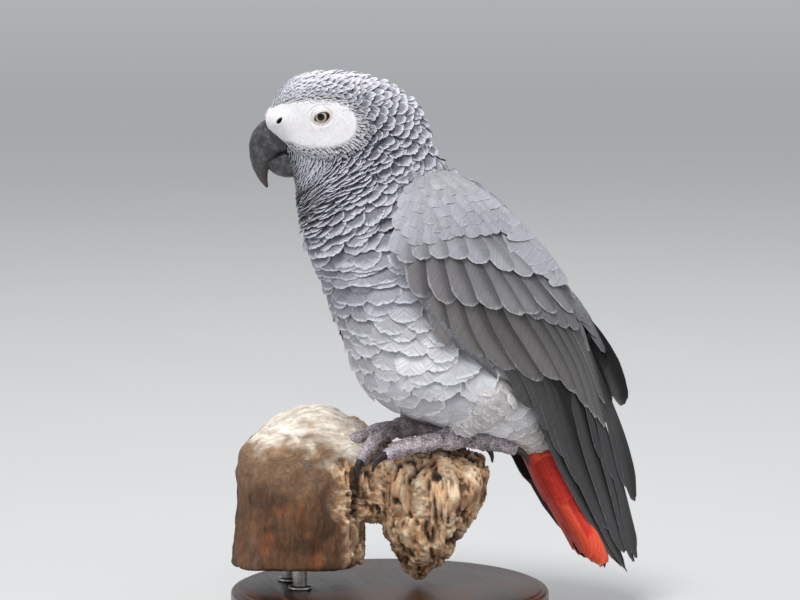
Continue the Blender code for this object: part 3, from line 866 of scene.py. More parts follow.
def rings_of(surface, low, high, spacing, pitch, stagger=0.618):
    """Roots in staggered rings round a closed surface. Spacing and pitch are functions of t."""
    angles = np.linspace(0, TURN, 241)
    roots = []
    t = low
    turn = 0.0
    while t < high:
        ring = surface(np.full(len(angles), t), angles)
        ahead = surface(np.full(len(angles), t + 0.02), angles)
        speed = np.linalg.norm(ahead - ring, axis=1).mean() / 0.02
        steps = np.linalg.norm(np.diff(ring, axis=0), axis=1)
        travelled = np.concatenate([[0], np.cumsum(steps)])
        count = max(6, int(round(travelled[-1] / pitch(t))))
        share = ((np.arange(count) + turn) % count) / count
        roots.append(stack(t, np.interp(share * travelled[-1], travelled, angles)))
        turn = (turn + stagger) % 1.0
        t += spacing(t) / speed
    return np.concatenate(roots)


# ---------------------------------------------------------------- which places lie under a wing

LIMB = ("foot", "toe_1", "toe_2", "toe_3", "toe_4")


def named(parts, words=("left", "right")):
    """The CAD nodes of these parts, side by side."""
    return [f"{part}_{word}" for word in words for part in parts]


def tree_of(nodes):
    shape = solids(nodes)
    found = BVHTree.FromBMesh(shape)
    shape.free()
    return found


blades = tree_of(named(("coverts", "secondaries", "primaries")))
thighs = tree_of(named(("thigh",)))
trunk = tree_of(["breast", "belly", "vent"])
feet = tree_of(named(LIMB))
COVERS = ((blades, 30), (thighs, 14))  # what may lie over the coat, and how far out


def hidden(points, outwards):
    """True where a wing or a thigh lies over the point."""
    found = []
    for point, way in zip(points, outwards):
        start = Vector((point - way) * MM)
        found.append(any(tree.ray_cast(start, Vector(way), reach * MM)[0] for tree, reach in COVERS))
    return np.array(found)


def tucked(points, middles, margin=1.2):
    """Moves points towards the body's middle line until they lie under the wings."""
    found = points.copy()
    for k, (point, middle) in enumerate(zip(points, middles)):
        way = Vector(point - middle)
        reach = way.length
        hit = blades.ray_cast(Vector(middle * MM), way.normalized(), (reach + margin) * MM)
        if hit[0] is not None:
            found[k] = middle + np.array(way.normalized()) * max(hit[3] / MM - margin, 0.2 * reach)
    return found


# ---------------------------------------------------------------- skin

COAT_DEPTH = by_station((0.5, 1.5, 2.3, 3.0, 3.4, 3.6, 4.0, 4.0, 3.6, 3.0))
HEAD_END = 3.4  # stations below this belong to the head
NECK_END = 3.2  # the wings may lie over the skin from here on
SKIN_END = 9.2
SKIN_COLUMNS = 176
BODY_SKIN = ("head", "neck", "breast", "belly", "vent")
LEG_SKIN = ("thigh", "shank", *LIMB)

# The places of the face are (y, z), and all are in the head's own frame.
FACE_REAR = 19.5
FACE_HEIGHT = 13.2
FACE_CENTRE = (-38, 278.2)
EYE = np.array((14.4, -38, 282))  # the left one
EYE_RADIUS = 6.2
EYE_RING = 9.0  # how far the finer mesh reaches round an eye
LID_HEIGHT = 0.55
LID_SOFTNESS = 0.35
LID_EDGE = 1.16
OPENING = (3.8, 2.5)
OPENING_TILT = math.radians(17)
CREASES = (  # height, distance from the eye, width
    (-0.40, 4.75, 0.5),
    (0.30, 5.7, 0.5),
    (-0.26, 6.6, 0.45),
    (0.20, 7.5, 0.5),
    (-0.16, 8.4, 0.5),
    (-0.10, 10, 0.5),
)
CERE_HEIGHT = 278.0
CERE_REACH = 5.2
NOSTRIL_AT = (-57.6, 279.8)  # before the cere is drawn forwards
GAPE_AT = (-56, 263)

WHITE_SKIN = srgb(0.90, 0.895, 0.905)
LID_SKIN = srgb(0.42, 0.38, 0.36)
PINK_SKIN = srgb(0.80, 0.74, 0.70)
NOSTRIL_SKIN = srgb(0.16, 0.15, 0.15)
GAPE_SKIN = srgb(0.30, 0.285, 0.29)
DARK_SCALES = srgb(0.72, 0.68, 0.70)

# The coat's tones under and at the edge of a feather, by station, as a picture shows them. Paler along the
# back line and darker towards the front: partly the coat's own tones, partly painted light from above with
# painted shade on the throat and chin.
PLUMAGE = {
    "back": (
        (0.84, 1.00, 0.88, 0.56, 0.52, 0.58, 0.63, 0.66, 0.72, 0.72),
        (0.93, 1.00, 1.00, 0.90, 0.82, 0.72, 0.72, 0.76, 0.82, 0.82),
    ),
    "side": (
        (0.82, 0.64, 0.40, 0.45, 0.60, 0.72, 0.92, 0.85, 0.83, 0.88),
        (0.94, 0.92, 0.84, 0.86, 0.87, 0.90, 1.00, 1.00, 0.98, 0.96),
    ),
    "front": (
        (0.33, 0.26, 0.31, 0.44, 0.55, 0.58, 0.75, 0.76, 0.80, 0.86),
        (0.66, 0.62, 0.74, 0.84, 0.87, 0.86, 0.94, 0.92, 0.93, 0.94),
    ),
}


def plumage(t, angle, rim=False):
    """The coat's colour at a place on the body, with painted light: paler towards the back line, darker
    towards the front.
    """
    back, side, front = (by_station(PLUMAGE[name][int(rim)])(t) for name in ("back", "side", "front"))
    high = np.sin(angle)
    tone = side + (np.where(high > 0, back, front) - side) * high**2
    warm = smooth(t, 7.1, 8.0)
    cool = 0.034 - 0.018 * smooth(t, 4.5, 6.0) - 0.016 * warm
    red = tone - cool * 0.45 + warm * 0.01
    green = tone - cool * 0.5 - warm * 0.01
    return srgb(red, green, tone + cool * 0.75 - warm * 0.03)


def face_distance(points):
    """Below 1 on the bare white face."""
    y = points[..., 1] - FACE_CENTRE[0]
    forward = np.clip(-y / 24, 0, 1.3)
    half = FACE_HEIGHT - 3.4 * forward**2
    peak = smooth(-points[..., 1], 46, 58) * (1 - smooth(np.abs(points[..., 0]), 1.5, 9.0))
    half = half - 2.6 * peak * (points[..., 2] > FACE_CENTRE[1])
    return np.hypot(np.maximum(y, 0) / FACE_REAR, (points[..., 2] - FACE_CENTRE[1]) / half)


def eye_frame(points, side):
    """How far points lie out from the eye's centre, along its opening and across it."""
    q = points - EYE * (side, 1, 1)
    up, along = spun(q[:, 2], q[:, 1], OPENING_TILT)
    return side * q[:, 0], along, up


def eye_gap(along, up):
    """1 at the edge of the eye's opening, and more outside it."""
    return (np.abs(along / OPENING[0]) ** 1.7 + np.abs(up / OPENING[1]) ** 2) ** (1 / 1.85)


def nostril_gap(points):
    """About 1 at the edge of a nostril, seen from the side, and more outside it."""
    z = points[:, 2] - NOSTRIL_AT[1]
    return np.hypot((points[:, 1] - NOSTRIL_AT[0] - 0.25 * z) / 0.85, z / 1.9)


def eye_relief(points, side):
    """How far the skin moves out: lids over the ball, their lips, the sunk opening and ring folds."""
    out, along, up = eye_frame(points, side)
    radius = np.hypot(along, up)
    fold = np.hypot(along / 1.22, up)
    creases = sum(height * bell(fold, at, width) for height, at, width in CREASES)
    base = out + creases * (1 + 0.5 * waves(points / 2.2, 5))
    dome = np.sqrt(np.maximum((EYE_RADIUS + LID_HEIGHT) ** 2 - radius**2, 0))
    height = LID_SOFTNESS * np.logaddexp(base / LID_SOFTNESS, dome / LID_SOFTNESS)
    gap = eye_gap(along, up)
    lip = 0.28 * bell(gap, 1.20, 0.10) - 0.22 * bell(gap, 1.42, 0.10)
    inside = np.sqrt(np.maximum(EYE_RADIUS**2 - radius**2, 0)) - 1.3
    height = inside + (height + lip - inside) * smooth(gap, 0.99, 1.12)
    return np.where((out > 0) & (radius < 16), height - out, 0)


def nostril_relief(points, side):
    """How far the skin swells round a nostril and sinks in it."""
    gap = nostril_gap(points)
    y = points[:, 1] - NOSTRIL_AT[0]
    z = points[:, 2] - NOSTRIL_AT[1]
    swell = 1.3 * np.exp(-((y / 3.6) ** 2 + (z / 4.6) ** 2))
    swell = swell - 2.6 * (1 - smooth(gap, 0.45, 1.05)) + 0.25 * bell(gap, 1.35, 0.25)
    return swell * smooth(side * points[:, 0], 2.0, 5.0)


def head_relief(points):
    """Lids, folds, cere and nostrils pressed into the head's skin."""
    found = points.copy()
    for side in SIDES.values():
        found[:, 0] += side * eye_relief(points, side)
        swell = nostril_relief(points, side)
        found[:, 0] += side * swell * 0.9
        found[:, 1] -= swell * 0.3
    front = smooth(-points[:, 1], 50, 63)
    height = np.abs(points[:, 2] - CERE_HEIGHT) / np.where(points[:, 2] > CERE_HEIGHT, 7.0, 8.0)
    cere = front * np.exp(-(height**2.6)) * (1 - smooth(face_distance(points), 0.82, 1.02))
    found[:, 1] -= CERE_REACH * cere
    found[:, 0] *= 1 + 0.10 * cere
    return found


def head_colours(tint, flat, worn):
    """Eyelids, nostrils and the dark corner of the mouth, from places before and after the relief."""
    for side in SIDES.values():
        out, along, up = eye_frame(worn, side)
        gap = eye_gap(along, up)
        pink = (out > 0) * bell(gap, 1.35, 0.25) * 0.6
        lid = (out > 0) & (gap < LID_EDGE)
        tint = np.where(lid[:, None], LID_SKIN, blend(tint, PINK_SKIN, pink))
        gap = nostril_gap(flat)
        dark = (gap < 1.1) & (side * worn[:, 0] > 3)
        tint = np.where(dark[:, None], blend(NOSTRIL_SKIN, tint, smooth(gap, 0.75, 1.1)), tint)
    at_gape = 1 - smooth(np.hypot((flat[:, 1] - GAPE_AT[0]) / 1.3, flat[:, 2] - GAPE_AT[1]), 3.4, 6.8)
    return blend(tint, GAPE_SKIN, 0.9 * at_gape)


def skin_tube():
    """The skin from bill to vent. Each vertex is marked with its station and share of the turn."""
    stations = np.concatenate([np.linspace(0, 3.0, 150, endpoint=False), np.linspace(3.0, SKIN_END, 90)])
    t, angle = (values.ravel() for values in grid(stations, circle(SKIN_COLUMNS) - math.pi / 2))
    points = body(t, angle)
    normal = slopes(body, t, angle)[2]
    middles = body_middle(t)
    normal *= np.sign(((points - middles) * normal).sum(-1, keepdims=True))
    bare = (1 - smooth(face_distance(facing(points)), 0.94, 1.12)) * (t < HEAD_END)
    points = points - normal * (COAT_DEPTH(t) * (1 - bare))[:, None]
    low = t > NECK_END
    points[low] = tucked(points[low], middles[low])
    mesh = lathe("parrot_skin", points.reshape(len(stations), SKIN_COLUMNS, 3))
    station = np.concatenate([t, [0, SKIN_END]])
    share = np.concatenate([(angle + math.pi / 2) / TURN, [0.5, 0.5]])
    put(mesh, "mark", stack(station, share, 0))
    return mesh


def refine(mesh):
    """Splits the faces round eyes and nostrils once, and again nearer their middles."""
    shape = bmesh.new()
    shape.from_mesh(mesh)
    spots = []
    for side in SIDES.values():
        spots.append((Vector(turned(EYE * (side, 1, 1)) * MM), 1.0))
        spots.append((Vector(turned(np.array((side * 10.0, *NOSTRIL_AT))) * MM), 0.55))
    for reach in (EYE_RING, EYE_RING * 2 / 3):
        edges = []
        for edge in shape.edges:
            middle = (edge.verts[0].co + edge.verts[1].co) / 2
            if any((middle - centre).length < reach * share * MM for centre, share in spots):
                edges.append(edge)
        bmesh.ops.subdivide_edges(shape, edges=edges, cuts=1, use_grid_fill=True)
    bmesh.ops.triangulate(shape, faces=[face for face in shape.faces if len(face.verts) > 4])
    shape.to_mesh(mesh)
    shape.free()


def finish_skin(mesh):
    """Relief, colours and unwrap of the refined skin."""
    points = vertices(mesh)
    marks = np.empty(len(points) * 3, np.float32)
    mesh.attributes["mark"].data.foreach_get("vector", marks)
    station, share = marks.reshape(-1, 3)[:, :2].T.astype(float)
    is_head = station < HEAD_END
    flat = facing(points)
    bare = (1 - smooth(face_distance(flat), 0.97, 1.1)) * is_head
    worn = flat.copy()
    worn[is_head] = head_relief(flat[is_head])
    fine = fractal(worn / 1.3, 3, 9) * 0.05 + waves(worn / 4.5, 3) * 0.10
    middles = facing(body_middle(np.clip(station, 0, HEAD_END)))
    worn += unit(worn - middles) * (fine * bare)[:, None]
    points[is_head] = turned(worn[is_head])
    place(mesh, points)

    tint = blend(plumage(station, share * TURN - math.pi / 2), WHITE_SKIN, bare)
    tint[is_head] = head_colours(tint[is_head], flat[is_head], worn[is_head])
    put(mesh, "tint", tint)
    put(mesh, "scale", np.zeros(len(points)))
    height = np.where(station < 2.6, station / 2.6 * 0.45, 0.45 + (station - 2.6) / 6.6 * 0.25)
    put_uv(mesh, stack(share, height))
    close_seam(mesh)


def in_box(points):
    """Where points lie in their own box, 0 to 1."""
    return (points - points.min(0)) / np.ptp(points, axis=0)


def thigh_skin(number, word):
    mesh = remeshed("limb", [f"thigh_{word}"], 1.3, 0.0, 4)
    points = vertices(mesh) - normals(mesh) * 2.6
    place(mesh, points)
    put(mesh, "tint", np.broadcast_to(plumage(np.array([7.6]), np.array([0.0])), (len(points), 3)))
    put(mesh, "scale", np.zeros(len(points)))
    box = in_box(points)
    put_uv(mesh, stack(0.02 + 0.2 * number + 0.18 * box[:, 1], 0.72 + 0.10 * box[:, 2]))
    return mesh


def leg_skin(number, word):
    """Shank, foot and toes, covered with scales."""
    mesh = remeshed("limb", named(("shank", *LIMB), [word]), 0.55, 0.70, 5)
    points = vertices(mesh)
    cells = np.array([noise.voronoi(Vector(p / (1.7, 1.4, 1.4)))[0][:2] for p in points])
    scale = smooth(cells[:, 1] - cells[:, 0], 0.02, 0.34)
    swell = 0.30 * scale + 0.35 * waves(points / 3.4, 4)
    place(mesh, points + normals(mesh) * swell[:, None])
    # The scales' tone with painted light: paler on each scale's top and darker in the grooves between, over a
    # tone that varies at random.
    tone = DARK_SCALES * (0.46 + 0.62 * scale + 0.42 * waves(points / 3.1, 8))[:, None]
    put(mesh, "tint", np.clip(tone, 0.01, 1))
    # Where the skin material paints glints on the scale tops.
    put(mesh, "scale", np.clip(0.5 + 0.9 * waves(points / 1.1, 12), 0, 1) * scale)
    box = in_box(points)
    upper = normals(mesh)[:, 2] > 0
    put_uv(mesh, stack(0.5 * number + 0.24 * box[:, 1] + 0.25 * upper, 0.83 + 0.16 * box[:, 0]))
    return mesh


def make_skin(material):
    mesh = skin_tube()
    refine(mesh)
    finish_skin(mesh)
    meshes = [mesh]
    for number, word in enumerate(SIDES):
        meshes += [thigh_skin(number, word), leg_skin(number, word)]
    skin = join("parrot_skin", meshes, material, (*BODY_SKIN, *named(LEG_SKIN)))
    skin.data.shade_smooth()


# ---------------------------------------------------------------- eyes, bill and claws

# The bill's places are (y, z), in the head's own frame.
BILL_CENTRE = np.array((-60.0, 264.0))  # of the arc that the culmen follows
BILL_THROAT = np.array((-55.2, 258.0))  # where the upper bill's rings all lead
BILL_ARC = (5, 156)  # degrees before the first ring, and from there to the tip
BILL_RADIUS = 17.0
BILL_POWER = 2 / 2.3
BILL_COLUMNS = 72
CREST = 0.03
FLAKE_HEIGHT = 0.10
MANDIBLE = np.array(  # y, z, half depth, half width
    ((-48, 257, 7.5, 7.0), (-58, 255, 7.5, 6.8), (-65, 255, 5.0, 4.8), (-69, 257, 1.5, 1.6)),
    float,
)


def make_eye(word, side, material):
    polar, angle = grid(np.linspace(0.01, math.pi - 0.01, 64), circle(96))
    radius = EYE_RADIUS * np.sin(polar)
    cornea = 0.30 * np.clip(1 - (radius / 3.8) ** 2, 0, 1) * (polar < 1)
    height = EYE_RADIUS * np.cos(polar) + cornea
    gaze = unit(np.array((side, -0.10, 0.03)))
    up = unit(np.cross(gaze, (0, 1.0, 0)))
    level = np.cross(up, gaze)
    points = EYE * (side, 1, 1) + gaze * height[..., None]
    points = points + (level * np.cos(angle)[..., None] + up * np.sin(angle)[..., None]) * radius[..., None]
    mesh = lathe(f"eyeball_{word}", turned(points))
    shown = np.where(polar < math.pi / 2, radius, 2 * EYE_RADIUS - radius)
    marks = stack(shown, np.cos(angle), np.sin(angle)).reshape(-1, 3)
    put(mesh, "ball", np.concatenate([marks, [(0, 1, 0), (2 * EYE_RADIUS, 1, 0)]]))
    new_object(f"eyeball_{word}", mesh, material, (f"eye_{word}",))


def bill_ring(back, front, half_width, crest):
    """A ring from the culmen at back to the cutting edge at front, both (y, z)."""
    angle = circle(BILL_COLUMNS)
    across, along = rounded(angle, BILL_POWER)
    along = along + crest * np.maximum(np.sin(angle), 0) ** 12
    middle = (back + front) / 2
    depth = back - middle
    return stack(half_width * across, middle[0] + depth[0] * along, middle[1] + depth[1] * along)


def horn_piece(name, rings, flakes, seed, wear, material, node):
    """Half of the bill from its rings. Flakes says how many lie round it and along it."""
    rings = np.array(rings)
    share, around = grid(np.linspace(0, 1, len(rings)), np.linspace(0, 1, BILL_COLUMNS, endpoint=False))
    flake = fractal(stack(around * flakes[0], share * flakes[1], 0), 4, seed)
    middle = rings.mean(axis=1, keepdims=True)
    rings = rings + unit(rings - middle) * wear(FLAKE_HEIGHT * flake, share, around * TURN)[..., None]
    mesh = lathe(name, turned(rings))
    marks = stack(around, share, 0).reshape(-1, 3)
    put(mesh, "horn", np.concatenate([marks, [(0, 0, 0), (0, 1, 0)]]))
    new_object(name, mesh, material, (node,))


def upper_wear(swell, share, angle):
    """A groove across the bill's underside near its tip, and no flakes at the very tip."""
    groove = 0.22 * bell(share, 0.62, 0.03) * smooth(-np.sin(angle), 0.3, 0.8)
    return (swell - groove) * smooth(1 - share, 0.0, 0.15)


def lower_wear(swell, share, angle):
    """The lower half of the bill keeps its flakes everywhere."""
    return swell


def make_bill(material):
    rings = []
    for share in np.linspace(0, 1, 90):
        angle = math.radians(BILL_ARC[0] + BILL_ARC[1] * share)
        past = max(0.0, angle - math.pi / 2) / math.radians(71)
        culmen = BILL_CENTRE + (BILL_RADIUS + 6.5 * past**2) * np.array((-math.sin(angle), math.cos(angle)))
        edge = culmen + unit(BILL_THROAT - culmen) * (19.0 * (1 - share**2.5) + 1.6)
        rings.append(bill_ring(culmen, edge, 9.0 * (1 - share**2.2) + 0.8, CREST))
    horn_piece("bill_upper_horn", rings, (9, 26), 21, upper_wear, material, "bill_upper")

    rings = []
    for y, z, half_depth, half_width in catmull(MANDIBLE, np.linspace(0, len(MANDIBLE) - 1, 60)):
        lean = 0.2 * half_depth
        back = np.array((y - lean, z + half_depth))
        front = np.array((y + lean, z - half_depth))
        rings.append(bill_ring(back, front, half_width, 0))
    horn_piece("bill_lower_horn", rings, (8, 9), 22, lower_wear, material, "bill_lower")


def make_claws(material):
    for word in SIDES:
        for k in range(1, 5):
            mesh = remeshed(f"talon_{k}_{word}", [f"claw_{k}_{word}"], 0.32, 0.22, 5)
            put(mesh, "horn", vertices(mesh) / 9.0)
            new_object(f"talon_{k}_{word}", mesh, material, (f"claw_{k}_{word}",))


# ---------------------------------------------------------------- the coat

ROW_SPACING = by_station((1.5, 1.8, 2.5, 3.6, 4.9, 6.6, 8.2, 8.4, 7.2, 5.0))  # from row to row
ROW_PITCH = by_station((1.3, 1.8, 3.0, 4.6, 7.0, 11.0, 13.0, 13.0, 9.5, 7.5))  # along a row
OVERLAP = by_station((3.4, 3.3, 3.1, 3.1, 3.0, 2.6, 2.4, 2.5, 3.3, 3.0))  # length, in spacings
FULLNESS = by_station((1.1, 1.5, 2.1, 2.3, 2.2, 1.9, 1.7, 1.7, 1.7, 1.7))  # width, in pitches
STAND = by_station((0.5, 0.9, 1.3, 1.8, 1.8, 1.5, 1.4, 1.3, 0.6, 0.5))  # how high the tips stand
SETTLE = by_station((0.0, -1.1, -2.0, -2.4, -1.8, -0.9, -0.6, -0.4, 0, 0))  # how high they lie
ROW_AT_SIDE = by_station((0, 0.2, 0.45, 0.15, -0.35, -0.45, -0.3, -0.15, 0, 0))
ROW_AT_FRONT = by_station((0, -0.1, -0.2, -0.4, -0.7, -1.0, -1.05, -0.8, -0.3, 0))
FIRST_ROW = 0.02
LAST_ROW = 8.25
COAT_END = 8.4
NO_FACE = 9.0  # a face distance that is far from the face
BODY_OUTWARD = outward_sign(body, body_middle(np.array([1.0]))[0])
COAT_BANDS = (
    # name, first and last row, vane, ragged, patch, painted shade at the root, side_power
    ("coat_head", 0.0, 2.4, Vane(7, 7), 0.035, 0.003, 0.38, 4),
    ("coat_neck", 2.4, 4.9, Vane(9, 10), 0.03, 0.003, 0.42, 4),
    ("coat_breast", 4.9, 6.6, Vane(11, 12), 0.025, 0.004, 0.50, 2),
    ("coat_belly", 6.6, 8.5, Vane(11, 12), 0.04, 0.004, 0.42, 1.5),
)
# The ends of each thigh's feathers, as x outwards, y and z. The right leg stands further forward.
THIGH = ((24, 58, 142), (19, 36, 111))
THIGH_RADII = (12, 20, 15, 8.5)
RIGHT_THIGH_SHIFT = (-0.3 * 18, -18)


def row_station(row, angle):
    """The body's station at a place on a row of feathers. Rows run from the back line forwards and down."""
    high = np.sin(angle)
    return row + ROW_AT_SIDE(row) * (1 - high**2) + ROW_AT_FRONT(row) * (high**2 - high) / 2


def coat(row, angle):
    """The body's surface, by row of feathers instead of by station."""
    return body(row_station(row, angle), angle)


def face_at(row, angle, station):
    return np.where(station < HEAD_END, face_distance(facing(coat(row, angle))), NO_FACE)


def at_gape(station, angle):
    return (station < 0.5) & (np.sin(angle) < -0.2)


def unwrap(low, high):
    """Where a root lies on the skin's unwrap, filled out for a piece that covers rows low to high."""
    return lambda t, angle: stack(0.01 + 0.98 * (angle / TURN) % 1.0, 0.02 + 0.96 * (t - low) / (high - low))


def coat_roots():
    """The roots that neither the face, the mouth nor a wing covers, and how much each is of the throat."""
    roots = rings_of(coat, FIRST_ROW, LAST_ROW, ROW_SPACING, ROW_PITCH)
    jitter = random.normal(0, 1, roots.shape)
    by_t, by_a = slopes(coat, *roots.T)[:2]
    steady = 0.12 - 0.06 * smooth(roots[:, 0], 1.0, 2.5) + 0.12 * smooth(roots[:, 0], 4, 6)
    throat = smooth(-np.sin(roots[:, 1]), -0.2, 0.4) * (1 - smooth(roots[:, 0], 2.2, 3.2))
    shift = jitter[:, 0] * steady * (1 - 0.7 * throat)
    roots[:, 0] += shift * ROW_SPACING(roots[:, 0]) / np.linalg.norm(by_t, axis=1)
    roots[:, 1] += jitter[:, 1] * 0.16 * ROW_PITCH(roots[:, 0]) / np.linalg.norm(by_a, axis=1)
    roots[:, 0] = np.clip(roots[:, 0], 0.0, COAT_END)
    row, angle = roots.T
    station = row_station(row, angle)
    outwards = slopes(coat, row, angle)[2] * BODY_OUTWARD
    further = ahead_of(coat, roots, ROW_SPACING(row) * 1.6, np.zeros(len(roots)))
    covered = hidden(coat(row, angle), outwards) & hidden(coat(*further.T), outwards)
    keep = (face_at(row, angle, station) > 0.98) & ~covered & ~at_gape(station, angle)
    return roots[keep], throat[keep]


def make_coat(fine, broad):
    roots, throat = coat_roots()
    row, angle = roots.T
    station = row_station(row, angle)
    face = face_at(row, angle, station)
    stretch = np.linalg.norm(slopes(coat, row, angle)[0], axis=1)
    samples = np.linspace(0, COAT_END, 40)
    ring = np.linspace(0, TURN, 36)
    means = [np.linalg.norm(slopes(coat, np.full(len(ring), k), ring)[0], axis=1).mean() for k in samples]
    local = np.clip(stretch / np.interp(row, samples, means), 0.5, 1.25)
    near_face = 0.55 + 0.45 * smooth(face, 1.0, 1.7)
    count = len(row)
    lengths = ROW_SPACING(row) * OVERLAP(row) * local * near_face * random.normal(1, 0.07, count)
    widths = ROW_PITCH(row) * FULLNESS(row) * (0.7 + 0.3 * near_face) * random.normal(1, 0.08, count)
    widths = widths * (1 + 0.8 * throat)
    tips = ahead_of(coat, roots, lengths, random.normal(0, 0.09, count))

    pale = 1 - smooth(face, 1.0, 1.30)
    tint = blend(plumage(station, angle), srgb(0.80, 0.80, 0.83), pale)
    rim = blend(plumage(station, angle, rim=True), srgb(0.92, 0.92, 0.93), pale)
    mantle = smooth(station, 3.7, 4.5) * smooth(np.sin(angle), -0.1, 0.4)
    rim = blend(rim, tint * 1.15, 0.85 * mantle)
    neck = smooth(row, 1.4, 2.4) * (1 - smooth(row, 4.4, 5.4)) * (1 - mantle)
    breast = smooth(row, 4.4, 5.4) * (1 - smooth(row, 6.8, 7.6)) * (1 - mantle)
    crown = (1 - smooth(row, 1.8, 2.6)) * (1 - throat)
    brow = 0.6 * (1 - smooth(station, 0.1, 0.6)) * smooth(np.sin(angle), 0.5, 0.8)
    unruly = np.clip(random.normal(1, 0.35 + 0.1 * crown - 0.25 * throat, count), 0.2, 1.6)
    curly = np.clip(random.normal(1, 0.4, count), 0, 1.5)
    options = {
        "sink": 0.35 + COAT_DEPTH(station) * near_face,
        "rise": STAND(row) * (1 - 0.85 * mantle) * near_face * unruly,
        "lift": SETTLE(row) * (1 - mantle) + brow,
        "curl": neck * curly + 0.5 * breast,
        "camber": 0.05 - 0.02 * neck,
        "narrow": np.full(count, 0.7),
        "point": 0.7 * crown + 0.3 * neck,
        "thick": 0.10 + 0.10 * smooth(row, 1, 4),
        "round_from": 0.62 + 0.12 * neck - 0.10 * crown,
    }
    front = smooth(-np.sin(angle), 0.7, 0.95)
    bands = zip(COAT_BANDS, (fine, fine, broad, broad))
    for (name, low, high, vane, ragged, patch, root_dark, side_power), material in bands:
        pick = (row >= low) & (row < high)
        chosen = {key: value[pick] for key, value in options.items()}
        # Painted shade at the feathers' roots, less of it on the front and on the crown.
        dark = root_dark * (1 - 0.5 * front[pick]) * (1 - 0.75 * crown[pick])
        ground = (coat, BODY_OUTWARD, unwrap(low, high))
        mesh = lay(name, vane, ground, roots[pick], tips[pick], widths[pick], tint[pick], rim[pick],
                   ragged=ragged, patch=patch, root_dark=dark[:, None], side_power=side_power, **chosen)
        new_object(name, mesh, material)


def make_down(material):
    """Tiny pale feathers where the bare face meets the coat."""
    roots = rings_of(coat, FIRST_ROW, 3.3, lambda row: 1.15, lambda row: 1.2)
    roots = roots + random.normal(0, 1, roots.shape) * (0.02, 0.012)
    station = row_station(*roots.T)
    face = face_distance(facing(coat(*roots.T)))
    keep = (station > FIRST_ROW) & (station < HEAD_END) & ~at_gape(station, roots[:, 1])
    keep &= (face > 0.85 + random.normal(0, 0.06, len(face))) & (face < 1.24)
    roots, station, face = roots[keep], station[keep], face[keep]
    count = len(roots)
    grown = smooth(face, 0.8, 1.25)
    lengths = (2.4 + 2.4 * grown) * random.normal(1, 0.12, count)
    tips = ahead_of(coat, roots, lengths, random.normal(0, 0.10, count))
    pale = 1 - smooth(face, 0.95, 1.30)
    tint = blend(plumage(station, roots[:, 1]), srgb(0.84, 0.84, 0.86), pale)
    rim = blend(plumage(station, roots[:, 1], rim=True), srgb(0.91, 0.91, 0.92), pale)
    widths = (0.8 + 0.5 * grown) * random.normal(1, 0.1, count)
    sink = 0.25 + COAT_DEPTH(station) * smooth(face, 0.95, 1.12)
    ground = (coat, BODY_OUTWARD, unwrap(0, 3.5))
    # Their darker roots are painted shade.
    mesh = lay("coat_face", Vane(5, 5), ground, roots, tips, widths, tint, blend(tint, rim, 0.6), sink=sink,
               rise=0.05 + 0.2 * grown, camber=0.04, narrow=0.7, point=0.8, thick=0.06, ragged=0.02,
               root_dark=0.15, side_power=2)
    new_object("coat_face", mesh, material)


def make_thighs(material):
    for word, side in SIDES.items():
        shifts = (0, 0) if side > 0 else RIGHT_THIGH_SHIFT
        path = [(side * x, y + shift, z) for (x, y, z), shift in zip(THIGH, shifts)]
        limb = tube(path, THIGH_RADII)
        roots = rings_of(limb, 0.0, 0.88, lambda t: 5.2, lambda t: 7.0)
        roots = roots + random.normal(0, 1, roots.shape) * (0.02, 0.06)
        free = []
        for point in limb(*roots.T):
            near, away = trunk.find_nearest(Vector(point * MM))[:2]
            free.append((Vector(point * MM) - near).dot(away) > -1.5 * MM)
        roots = roots[np.array(free)]
        count = len(roots)
        lengths = random.normal(18, 1.2, count) * (1 - 0.4 * roots[:, 0])
        tips = ahead_of(limb, roots, lengths, random.normal(0, 0.12, count))
        ground = (limb, outward_sign(limb, np.array(path).mean(0)), unwrap(0, 1))
        tint = one_colour((0.85, 0.83, 0.83), count)
        rim = one_colour((0.97, 0.96, 0.96), count)
        widths = random.normal(13, 0.8, count)
        # Their darker roots are painted shade.
        mesh = lay(f"coat_thigh_{word}", Vane(7, 8), ground, roots, tips, widths, tint, rim,
                   sink=2.5, ragged=0.04, root_dark=0.2)
        new_object(f"coat_thigh_{word}", mesh, material)


# ---------------------------------------------------------------- wings

